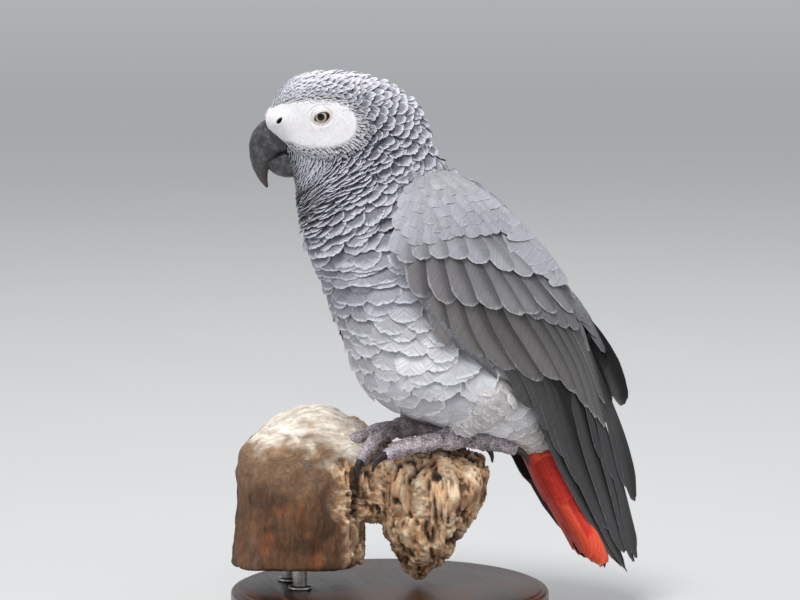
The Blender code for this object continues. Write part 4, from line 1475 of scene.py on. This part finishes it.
# Places on a wing are (t, across): its station, and 0 to 1 from its upper to its lower edge.
MEDIAN_LINE = ((1.22, 0.98), (1.28, 0.78), (1.40, 0.58), (1.72, 0.38), (1.95, 0.10))
GREATER_LINE = ((1.66, 1.00), (1.86, 0.82), (1.98, 0.65), (2.16, 0.50), (2.26, 0.34), (2.40, 0.10))
LATE_LINE = ((2.30, 0.40), (2.48, 0.26), (2.62, 0.10))
SECONDARIES = (  # tip (t, across), how many stations the feather runs
    (2.31, 1.02, 1.25),
    (2.50, 0.94, 1.35),
    (2.76, 0.86, 1.5),
    (2.98, 0.74, 1.5),
    (3.03, 0.58, 1.5),
    (3.25, 0.45, 1.6),
    (3.48, 0.33, 1.75),
    (3.64, 0.20, 1.8),
    (3.77, 0.06, 1.8),
    (3.55, -0.06, 1.7),
)
PRIMARIES = (  # tip (t, across), how many stations it runs, width, only in the left wing's fanned tip
    (3.30, 0.93, 1.5, 12.5, False),
    (3.66, 0.88, 1.7, 12.5, False),
    (3.98, 0.84, 1.9, 12.5, False),
    (4.32, 0.80, 2.1, 12.0, False),
    (5.16, 1.16, 2.3, 6.5, True),
    (5.22, 0.92, 2.4, 7.0, True),
    (4.70, 0.76, 2.3, 12.0, False),
    (5.00, 0.46, 2.5, 12.5, False),
    (5.10, 0.12, 2.5, 12.5, False),
    (5.08, -0.14, 2.4, 12.0, True),
    (4.38, -0.24, 2.0, 12.0, True),
    (4.50, -0.42, 2.0, 12.0, True),
    (4.30, 0.05, 2.0, 12.5, False),
    (4.10, 0.24, 1.8, 12.5, False),
)
WING_FEATHER = {
    "camber": 0.07,
    "ragged": 0.008,
    "narrow": 0.75,
    "round_from": 0.72,
    "thick": 0.25,
    "painted_shade_from_to": (-0.55, 0.35),
    "patch": 0.03,
    "uneven": 0.06,
}
COVERT_LOOKS = (
    # In each row's options, inner paints the shadow of the overlapping feather on the covered side, and the
    # darker root is painted shade.
    # vane, tint of the first and of the last feather, rim, options: lesser, median, greater, late
    (Vane(9, 9), (0.68, 0.68, 0.71), (0.68, 0.68, 0.71), (0.74, 0.74, 0.77),
     dict(sink=0.4, lift=1.5, rise=0.4, thick=0.07, tilt=0.25, inner=0.12, root_dark=0.10, ragged=0.02)),
    (Vane(11, 13), (0.66, 0.66, 0.69), (0.66, 0.66, 0.69), (0.80, 0.80, 0.82),
     dict(sink=0.8, lift=0.9, rise=1.0, tilt=0.60, inner=0.40, root_dark=0.30)),
    (Vane(11, 17), (0.54, 0.525, 0.535), (0.53, 0.53, 0.55), (0.72, 0.71, 0.72),
     dict(sink=1.0, lift=0.5, rise=0.8, tilt=0.90, inner=0.62, root_dark=0.35)),
    (Vane(11, 15), (0.47, 0.465, 0.48), (0.45, 0.45, 0.47), (0.60, 0.59, 0.60),
     dict(sink=1.0, lift=0.3, rise=0.4, tilt=0.40, inner=0.25, root_dark=0.25)),
)
FLIGHT_LOOKS = (
    # the same for secondaries and primaries
    (Vane(11, 25), (0.54, 0.52, 0.52), (0.39, 0.38, 0.38), (0.62, 0.61, 0.61),
     dict(sink=1.2, rise=0.1, tilt=0.95, narrow=0.8, inner=0.72, root_dark=0.3)),
    (Vane(9, 29), (0.33, 0.32, 0.325), (0.23, 0.225, 0.235), (0.42, 0.41, 0.42),
     dict(sink=1.6, lift=-0.6, rise=-0.3, tilt=1.1, narrow=0.8, round_from=0.86, inner=0.70, root_dark=0.2)),
)
# The rolled edges: where on the wing, radius, how far they turn in, first and last t of their coverts.
EDGES = ((1, 3.0, 8.0, -0.05, 2.5), (0, 2.0, 8.0, -0.15, 2.6))
EDGE_ROWS = (1.15, 0.85, 0.55, 0.25, 0.0)
EDGE_END = 3.2
SCAPULAR_ROWS = ((-0.10, 0.70, 2.1, 8), (-0.04, 0.62, 2.2, 9))  # shift across, first and last t, count
WING_INSIDE = np.array((0, 40, 200.0))


def drift(across):
    """How far a wing feather slants towards the lower edge for each station it runs."""
    return -0.20 + 0.44 * across


def wing_row(tips, run, width):
    """Roots, tips and widths of one row, from its tips and how many stations each feather runs."""
    tips = np.array(tips, float)
    run = np.broadcast_to(run, (len(tips),))
    slant = run * drift(tips[:, 1] - run * drift(tips[:, 1]) / 2)
    return tips - stack(run, slant), tips, np.broadcast_to(width, (len(tips),))


def line(count, corners):
    """Evenly spaced (t, across) places along a bent line."""
    corners = np.array(corners, float)
    share = np.linspace(0, len(corners) - 1, count)
    return stack(*(np.interp(share, np.arange(len(corners)), values) for values in corners.T))


def scatter(places, amount):
    return places + random.normal(0, 1, places.shape) * amount


def shades(first, last, count):
    """A colour for each feather of a row, from the first one's to the last one's."""
    first, last = np.array(first), np.array(last)
    return srgb(*(first + (last - first) * np.arange(count)[:, None] / max(count - 1, 1)).T)


def covert_rows():
    lesser = []
    for k, t in enumerate(np.arange(0.26, 1.18, 0.15)):
        corners = ((t * 0.93, 1.02 - 0.05 * (k % 2)), (t, 0.5), (t * 1.15, 0.06))
        lesser.append(scatter(line(int(5 + 5 * smooth(t, 0.2, 1.1)), corners), 0.022))
    return (
        wing_row(np.concatenate(lesser), 0.42, 13.0),
        wing_row(scatter(line(8, MEDIAN_LINE), 0.012), 0.66, 16.5),
        wing_row(scatter(line(8, GREATER_LINE), 0.012), 0.95, 17.0),
        wing_row(scatter(line(4, LATE_LINE), 0.010), 0.80, 15.0),
    )


def flight_rows(side):
    t, across, run = np.array(SECONDARIES).T
    secondaries = wing_row(stack(t, across), run, 17.5)
    t, across, run, width = np.array([row[:4] for row in PRIMARIES if side > 0 or not row[4]]).T
    return secondaries, wing_row(stack(t, across), run, width)


def lay_rows(rows, looks, ground, side):
    meshes = []
    for number, ((roots, tips, width), (vane, first, last, rim, more)) in enumerate(zip(rows, looks)):
        count = len(tips)
        options = {**WING_FEATHER, **more}
        options["rise"] = options["rise"] + np.linspace(-0.15, 0.15, count)  # each lies on the one before
        options["tilt"] = -side * options["tilt"]
        widths = width * random.normal(1, 0.03, count)
        tint = shades(first, last, count)
        rim = one_colour(rim, count)
        options["inner_side"] = side
        meshes.append(lay(f"rows_{number}", vane, ground, roots, tips, widths, tint, rim, **options))
    return meshes


def wing_edge(surface, outward, at, radius, depth):
    """The wing's upper edge (0) or lower edge (1), rolled in towards the body."""

    def rolled(t, a):
        t = np.asarray(t, float)
        a = np.asarray(a, float)
        last = np.full(t.shape, float(at))
        base = surface(t, last)
        down = unit(base - surface(t, last * 0.8 + 0.1))
        out = slopes(surface, t, last * 0.94 + 0.03)[2] * outward
        turn = np.clip(a, 0, 1)[..., None] * math.pi / 2
        before = np.minimum(a, 0)[..., None] * math.pi / 2
        inwards = depth * (smooth(a, 0.3, 1.0) + 0.6 * np.maximum(a - 1, 0))
        inwards = inwards * (1 - smooth(t, EDGE_END - 1.2, EDGE_END))
        outer = base + down * radius * (np.sin(turn) + before)
        return outer - out * (radius * (1 - np.cos(turn)) + inwards[..., None])

    return rolled


def edge_home(t, a):
    return stack(0.90 + 0.05 * a, np.clip(0.05 + 0.3 * t, 0, 0.95))


def lay_edges(surface, outward):
    """Small coverts that close the wing's edges against the body."""
    meshes = []
    for at, radius, depth, low, high in EDGES:
        rolled = wing_edge(surface, outward, at, radius, depth)
        ground = (rolled, outward_sign(rolled, WING_INSIDE), edge_home)
        rows = [stack(np.arange(low + 0.08 * (k % 2), high, 0.16), a) for k, a in enumerate(EDGE_ROWS)]
        roots = scatter(np.concatenate(rows), (0.02, 0.03))
        count = len(roots)
        tips = roots + stack(random.normal(0.40, 0.03, count), 0.10)
        tone = np.interp(roots[:, 0], (0.9, 1.5, 2.4), (0.59, 0.50, 0.42))
        tint = srgb(tone, tone, tone + 0.02)
        rim = np.clip(tint * 1.35, 0, 1)
        widths = random.normal(8.5, 0.5, count)
        # Their darker roots are painted shade between the rows.
        mesh = lay("edge", Vane(7, 9), ground, roots, tips, widths, tint, rim, sink=1.2, rise=0.35,
                   camber=0.05, ragged=0.02, thick=0.12, root_dark=0.25, patch=0.01)
        meshes.append(mesh)
    return meshes


def lay_scapulars(surface, side, outward):
    """Pale feathers of the mantle that lie over the wing's upper edge."""
    rolled = wing_edge(surface, outward, 0, 2.0, 5.0)

    def shoulder(t, a):
        a = np.asarray(a, float)
        return np.where((a >= 0)[..., None], surface(t, np.maximum(a, 0)), rolled(t, -6 * np.minimum(a, 0)))

    rows = []
    for shift, low, high, count in SCAPULAR_ROWS:
        t = np.linspace(low, high, count)
        rows.append(stack(t, shift + 0.02 + 0.05 * smooth(t, 0.5, 1.8)))
    tips = scatter(np.concatenate(rows), (0.03, 0.008))
    tint = one_colour((0.69, 0.69, 0.72), len(tips))
    widths = random.normal(11.5, 0.5, len(tips))
    # Their darker roots and covered sides are painted shade.
    return lay("scapulars", Vane(9, 13), (shoulder, outward, wing_home), tips - (0.60, 0.05), tips, widths,
               tint, tint * 1.2, sink=0.8, lift=1.5, rise=0.5, tilt=-0.2 * side, camber=0.04, narrow=0.8,
               ragged=0.015, thick=0.15, root_dark=0.15, inner=0.15, inner_side=side, patch=0.03, uneven=0.05)


def wing_home(t, across):
    high = np.clip(across * 0.7 + 0.2, 0, 1)
    return stack(0.06 + 0.88 * high, 0.03 + 0.94 * np.clip((t + 0.6) / 5.2, 0, 1))


def make_core(name, rings, colour, material):
    """The closed shape that fills a wing or the tail under its feathers, coloured dark as painted shade seen
    through the gaps between them.
    """
    mesh = lathe(name, rings)
    count = len(mesh.vertices)
    for key in ("tint", "rim"):
        put(mesh, key, np.broadcast_to(colour, (count, 3)))
    put(mesh, "vane", vertices(mesh) * (1.0, 1.0, 0.0))
    put(mesh, "seed", np.zeros(count))
    new_object(name, mesh, material)


def make_wing_core(word, surface, outward, material):
    t, across = grid(np.linspace(0.02, 4.25, 86), np.linspace(0.10, 0.90, 24))
    normal = slopes(surface, t, across)[2] * outward
    depth = 2.2 - 0.8 * smooth(t, 1, 4)
    thick = (2.6 - 1.8 * smooth(t, 0.5, 4)) * (0.15 + 0.85 * np.sin(math.pi * (across - 0.10) / 0.80) ** 0.5)
    outer = surface(t, across) - normal * depth[..., None]
    inner = outer - normal * thick[..., None]
    station = np.concatenate([np.concatenate([t, t[:, ::-1]], axis=1).ravel(), [0, 4.5]])
    # Painted shade under the wing's feathers: pale at the shoulder, grey by the coverts, near black under the
    # flight feathers.
    colour = blend(srgb(0.34, 0.335, 0.35), srgb(0.10, 0.10, 0.105), smooth(station, 1.2, 3.4))
    colour = blend(colour, srgb(0.60, 0.60, 0.63), 1 - smooth(station, 0.6, 1.3))
    rings = np.concatenate([outer, inner[:, ::-1]], axis=1)
    make_core(f"wing_core_{word}", rings, colour, material)


def make_wing(word, side, covert_material, flight_material):
    surface = wing(side)
    outward = outward_sign(surface, WING_INSIDE)
    ground = (surface, outward, wing_home)
    meshes = lay_rows(covert_rows(), COVERT_LOOKS, ground, side)
    meshes += lay_edges(surface, outward)
    meshes.append(lay_scapulars(surface, side, outward))
    join(f"wing_coverts_{word}", meshes, covert_material, (f"coverts_{word}",))
    meshes = lay_rows(flight_rows(side), FLIGHT_LOOKS, ground, side)
    nodes = (f"secondaries_{word}", f"primaries_{word}")
    join(f"wing_flight_{word}", meshes, flight_material, nodes)
    make_wing_core(word, surface, outward, covert_material)


# ---------------------------------------------------------------- tail

# The long feathers: the angle round the tail in degrees and the station of the tip, from the middle outwards.
RECTRICES = (
    (90, 3.88),
    (62, 3.88),
    (118, 3.88),
    (35, 3.80),
    (145, 3.80),
    (8, 3.45),
    (172, 3.5),
    (-20, 3.15),
    (200, 3.2),
    (-50, 2.8),
    (230, 2.8),
)
UNDERTAIL = ((0.3, 2.6), (0.0, 2.0), (-0.3, 1.3))  # station of the roots and of the tips, row by row
TAIL_INSIDE = np.array((0, 95, 70.0))


def tail_home(t, angle):
    return stack(0.02 + 0.96 * (angle / TURN) % 1.0, 0.06 + 0.88 * np.clip((t + 0.5) / 5, 0, 1))


def tail_base_home(t, angle):
    return stack(0.02 + 0.96 * (angle / TURN) % 1.0, 0.02 + 0.03 * (t - 8.1))


def lay_rectrices(outward):
    degrees, ends = np.array(RECTRICES).T
    around = np.radians(degrees)
    count = len(around)
    # The covered side of each tail feather is painted darker, as the shadow of the feather over it.
    inner_side = np.where(np.cos(around) > 0, -1.0, 1.0)
    roots = stack(0, around)
    tips = stack(ends, around + 0.04 * random.normal(0, 1, count))
    bright = np.clip(one_colour((1.0, 0.36, 0.24), count) * random.normal(1, 0.16, (count, 1)), 0, 1)
    rim = np.clip(bright * 1.25, 0, 1)
    lift = 0.30 * (np.arange(count) // 2) - 0.4  # the middle ones lie lowest
    return lay("rectrices", Vane(11, 27), (tail, outward, tail_home), roots, tips, np.full(count, 15.5),
               bright, rim, sink=1.4, rise=0.15, lift=lift, tilt=-0.6 * inner_side, inner=0.45,
               inner_side=inner_side[:, None], camber=0.05, narrow=0.75, round_from=0.84, ragged=0.012,
               thick=0.3, patch=0.04, uneven=0.04)


def lay_undertail(outward):
    meshes = []
    for step, (low, high) in enumerate(UNDERTAIL):
        around = np.radians(np.linspace(200, 340, 6) + 12 * (step % 2))
        count = len(around)
        roots = stack(low, around)
        tips = stack(high + random.normal(0, 0.08, count), around)
        deep = one_colour((0.88, 0.24, 0.18), count) * random.normal(1, 0.10, (count, 1))
        rim = np.clip(deep * 1.2, 0, 1)
        mesh = lay("undertail", Vane(9, 17), (tail, outward, tail_home), roots, tips, np.full(count, 12.0),
                   deep, rim, sink=1.2, rise=0.4 + 0.35 * step, tilt=0.2, camber=0.06, round_from=0.7,
                   thick=0.25, patch=0.03, uneven=0.05)
        meshes.append(mesh)
    return meshes


def lay_tail_base():
    """Rows round the tail's root, red below and grey on the back."""
    roots = rings_of(body, 8.35, 9.1, lambda t: 6.0, lambda t: 7.5)
    roots = roots + random.normal(0, 1, roots.shape) * (0.03, 0.04)
    count = len(roots)
    tips = ahead_of(body, roots, random.normal(15, 1.2, count), random.normal(0, 0.08, count))
    deep = one_colour((0.74, 0.14, 0.11), count) * random.normal(1, 0.08, (count, 1))
    deep = blend(deep, srgb(0.62, 0.61, 0.63), smooth(np.sin(roots[:, 1]), 0.2, 0.7))
    rim = np.clip(deep * 1.15, 0, 1)
    return lay("tail_coverts", Vane(9, 11), (body, BODY_OUTWARD, tail_base_home), roots, tips,
               np.full(count, 10.5), deep, rim, sink=1.5, camber=0.06, ragged=0.05, patch=0.02)


def make_tail(material):
    outward = outward_sign(tail, TAIL_INSIDE)
    meshes = [lay_rectrices(outward), *lay_undertail(outward), lay_tail_base()]
    join("tail_scarlet", meshes, material, ("tail",))
    t, angle = grid(np.linspace(-0.2, 3.3, 40), circle(48))
    rings = tail(t, angle) - slopes(tail, t, angle)[2] * outward * 2.6
    # The tail's core is dark red: painted shade under the red feathers.
    make_core("tail_core", rings, srgb(0.42, 0.05, 0.045), material)


# ---------------------------------------------------------------- perch and stand

PERCH = ("perch_trunk", "perch_elbow", "perch_arm", "perch_tongue")
BARK = (0.62, 0.50, 0.39)


def grain(points, lying, stretch, along, across, seeds):
    """Ridges that run up the wood where lying is 0, and along the branch where it is 1."""
    upright = np.abs(fractal(points / (stretch, stretch, along), 3, seeds[0])) * (1 - lying)
    return upright + np.abs(fractal(points / (stretch, *across), 3, seeds[1])) * lying


def make_branch(material):
    mesh = remeshed("branch", PERCH, 0.9, 0.9, 32)
    points = vertices(mesh)
    out = normals(mesh)
    y, z = points.T[1:]
    clear = np.array([feet.find_nearest(Vector(p * MM))[3] / MM for p in points])
    free = smooth(clear, 0.5, 6.0)  # 0 under the toes

    # How the wood is worn: torn open towards the bird's back and under it, and bark elsewhere.
    upper = smooth(z + 5 * fractal(points / 7, 3, 52), 86, 97)
    torn = smooth(y + 0.15 * (z - 70) + 6 * fractal(points / 9, 3, 40) - 26 * upper, -36, -22)
    bark = 1 - torn
    lumps = 1.3 * fractal(points / 16, 3, 31)
    cracks = smooth(fractal(points / (6.0, 6.0, 40.0), 3, 41), 0.55, 0.9)
    bark_relief = 0.30 * fractal(points / (3.0, 3.0, 14.0), 4, 32) - 0.9 * cracks
    lying = smooth(fractal(points / 17, 2, 42) - 0.6 * smooth(y, -12, 6), -0.25, 0.25)
    bent = points + 2.5 * stack(waves(points / 13, 46), waves(points / 13, 47), 0)
    fibres = 0.55 * grain(bent, lying, 4.6, 34.0, (30.0, 5.5), (33, 43))
    fibres = fibres + 0.45 * grain(bent, lying, 2.0, 20.0, (18.0, 2.2), (48, 49))
    chips = fractal(points / (4.0, 4.0, 9.0), 3, 34)
    pits = smooth(fractal(points / (7.0, 7.0, 12.0), 3, 35), 0.60, 0.90)
    split = smooth(fractal(points / (4.0, 5.0, 30.0), 3, 36), 0.50, 0.80)
    steps = np.floor(6 * fractal(points / (9.0, 9.0, 22.0), 3, 53)) / 6
    torn_relief = 1.6 - 4.4 * fibres + 0.6 * chips - 3.2 * pits - 2.8 * split + 2.2 * steps
    relief = lumps + bark * bark_relief + torn * torn_relief
    off_stand = smooth(z, 20, 30)
    place(mesh, points + out * (relief * (0.25 + 0.75 * free) * off_stand)[:, None])

    # Its colours, each laid over the ones before: how much, and which.
    top = smooth(out[:, 2] + 0.30 * fractal(points / 9, 3, 37), 0.20, 0.75)
    # Paler where the surface faces up, near the top of the elbow.
    ridge = top * smooth(z + 8 * fractal(points / 8, 3, 51) + 0.25 * (y + 30), 84, 97) * bark
    low = smooth(-z, -96, -66)
    rust = smooth(fractal(points / (9, 9, 16), 4, 38), 0.15, 0.9) * bark
    stain = smooth(fractal(points / (13, 13, 15), 4, 54), -0.05, 0.45) * low * bark
    lichen = smooth(fractal(points / (6, 6, 13), 4, 44), 0.2, 0.9) * bark
    # Painted highlight on the raised fibres of the torn wood.
    splinter_highlight = smooth(0.9 - 2.2 * fibres + 0.5 * chips, 0.2, 0.8) * torn
    reddish = smooth(fractal(points / 12, 3, 45), 0.1, 0.8) * torn
    cut = smooth(y, 40, 50) * smooth(z, 60, 75)
    tone = one_colour(BARK, len(points))
    for share, colour in (
        (low * bark, (0.44, 0.31, 0.21)),
        (0.75 * rust * (0.3 + 0.7 * low), (0.55, 0.32, 0.18)),
        (0.65 * stain, (0.27, 0.19, 0.13)),
        (0.6 * lichen, (0.40, 0.36, 0.32)),
        (torn, (0.95, 0.78, 0.61)),
        (0.9 * splinter_highlight, (1.0, 0.94, 0.84)),
        (0.5 * reddish, (0.62, 0.41, 0.26)),
        (0.5 * cut, (0.60, 0.42, 0.27)),
        (ridge, (0.97, 0.945, 0.90)),
    ):
        tone = blend(tone, srgb(*colour), share)
    put(mesh, "tint", np.clip(tone, 0, 1))
    # Painted shade in the torn wood's recesses: the pits, splits and grooves between the fibres that the
    # relief sinks.
    put(mesh, "pit", torn * np.clip(0.9 * pits + 0.8 * split + 0.85 * smooth(fibres, 0.30, 0.62), 0, 0.95))
    level = smooth(z + 9 * fractal(points / 12, 3, 50), 78, 98) * bark + lying * torn
    upright = points / (3.2, 3.2, 16.0) * (1 - level)[:, None]
    put(mesh, "flow", upright + points / (3.2, 16.0, 3.2) * level[:, None])
    new_object("branch", mesh, material, PERCH)


def turned_ring(profile, centre, columns):
    """A lathe-turned shape from (radius, height) rows round a centre, in millimetres."""
    angle = circle(columns)
    radius, height = np.array(profile, float).T
    out = radius[:, None]
    return stack(centre[0] + out * np.cos(angle), centre[1] + out * np.sin(angle), height[:, None])


def make_turned(name, profile, centre, columns, sharp, material, node):
    mesh = lathe(name, turned_ring(profile, centre, columns))
    mesh.set_sharp_from_angle(angle=math.radians(sharp))
    new_object(name, mesh, material, (node,))


def node_box(node):
    """The lower and upper corner of a CAD node's box, in millimetres."""
    return [np.array(corner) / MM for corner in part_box(node)]


def make_stand(wood, steel):
    low, high = node_box("stand_base")
    radius = (high - low)[0] / 2
    top = high[2]
    profile = [(0.5, 0), (radius - 2.0, 0), (radius - 1.2, 0.3), (radius - 1.0, 1.0)]
    for a in np.linspace(0.2, math.pi / 2, 6):
        profile.append((radius - 1.0 + 1.0 * math.sin(a), 3.0 - 1.6 * math.cos(a)))
    profile.append((radius, top * 0.45))
    for a in np.linspace(0, math.pi / 2, 9):
        profile.append((radius - 2.6 + 2.6 * math.cos(a), top - 3.6 + 2.6 * math.sin(a)))
    profile += [(radius - 3.2, top - 0.95), (radius - 3.6, top - 0.3), (radius - 4.2, top)]
    profile += [(radius * 0.6, top), (2.0, top)]
    make_turned("stand_base_wood", profile, (0, 0), 160, 40, wood, "stand_base")
    for k in (1, 2):
        low, high = node_box(f"stand_rod_{k}")
        radius = (high - low)[0] / 2
        profile = [(0.3, low[2]), (radius, low[2]), (radius, top + 0.01)]
        profile += [(radius + 2.2, top + 0.02), (radius + 2.6, top + 0.4), (radius + 2.4, top + 1.4)]
        profile += [(radius + 1.6, top + 1.9), (radius, top + 2.0), (radius, high[2]), (0.3, high[2])]
        centre = (low + high)[:2] / 2
        make_turned(f"stand_rod_{k}_steel", profile, centre, 48, 35, steel, f"stand_rod_{k}")


def make_floor():
    shape = bmesh.new()
    bmesh.ops.create_grid(shape, x_segments=8, y_segments=8, size=20)
    mesh = bpy.data.meshes.new("floor")
    shape.to_mesh(mesh)
    shape.free()
    floor = linked("floor", mesh)
    mesh.materials.append(floor_material())


# ---------------------------------------------------------------- everything

# name, where the rim colour starts, streaks, darkness of the shaft, roughness, sheen
# The fine feathers' rim colour starts far in, so the raised tips of the head and neck are pale over most of
# their face: their own pale margins, widened as painted light on the lit tips.
fine = feather_material("feathers_fine", 0.15, 0.34, 0.05, 0.78)
broad = feather_material("feathers_body", 0.66, 0.26, 0.06, 0.78)
coverts = feather_material("feathers_coverts", 0.80, 0.16, 0.10, 0.72, 0.08)
flight = feather_material("feathers_flight", 0.86, 0.18, 0.18, 0.60, 0.05)
scarlet = feather_material("feathers_scarlet", 0.70, 0.24, 0.25, 0.62, 0.08)
horn = horn_material("horn", srgb(0.20, 0.20, 0.21), srgb(0.52, 0.52, 0.535), 0.45)
talon = horn_material("talon", srgb(0.07, 0.07, 0.075), srgb(0.30, 0.29, 0.30), 0.35)

make_camera()
make_studio()
make_skin(skin_material())
for word, side in SIDES.items():
    make_eye(word, side, eye_material())
make_bill(horn)
make_claws(talon)
make_coat(fine, broad)
make_down(fine)
make_thighs(broad)
for word, side in SIDES.items():
    make_wing(word, side, coverts, flight)
make_tail(scarlet)
make_branch(branch_material())
make_stand(stand_material(), steel_material())
make_floor()
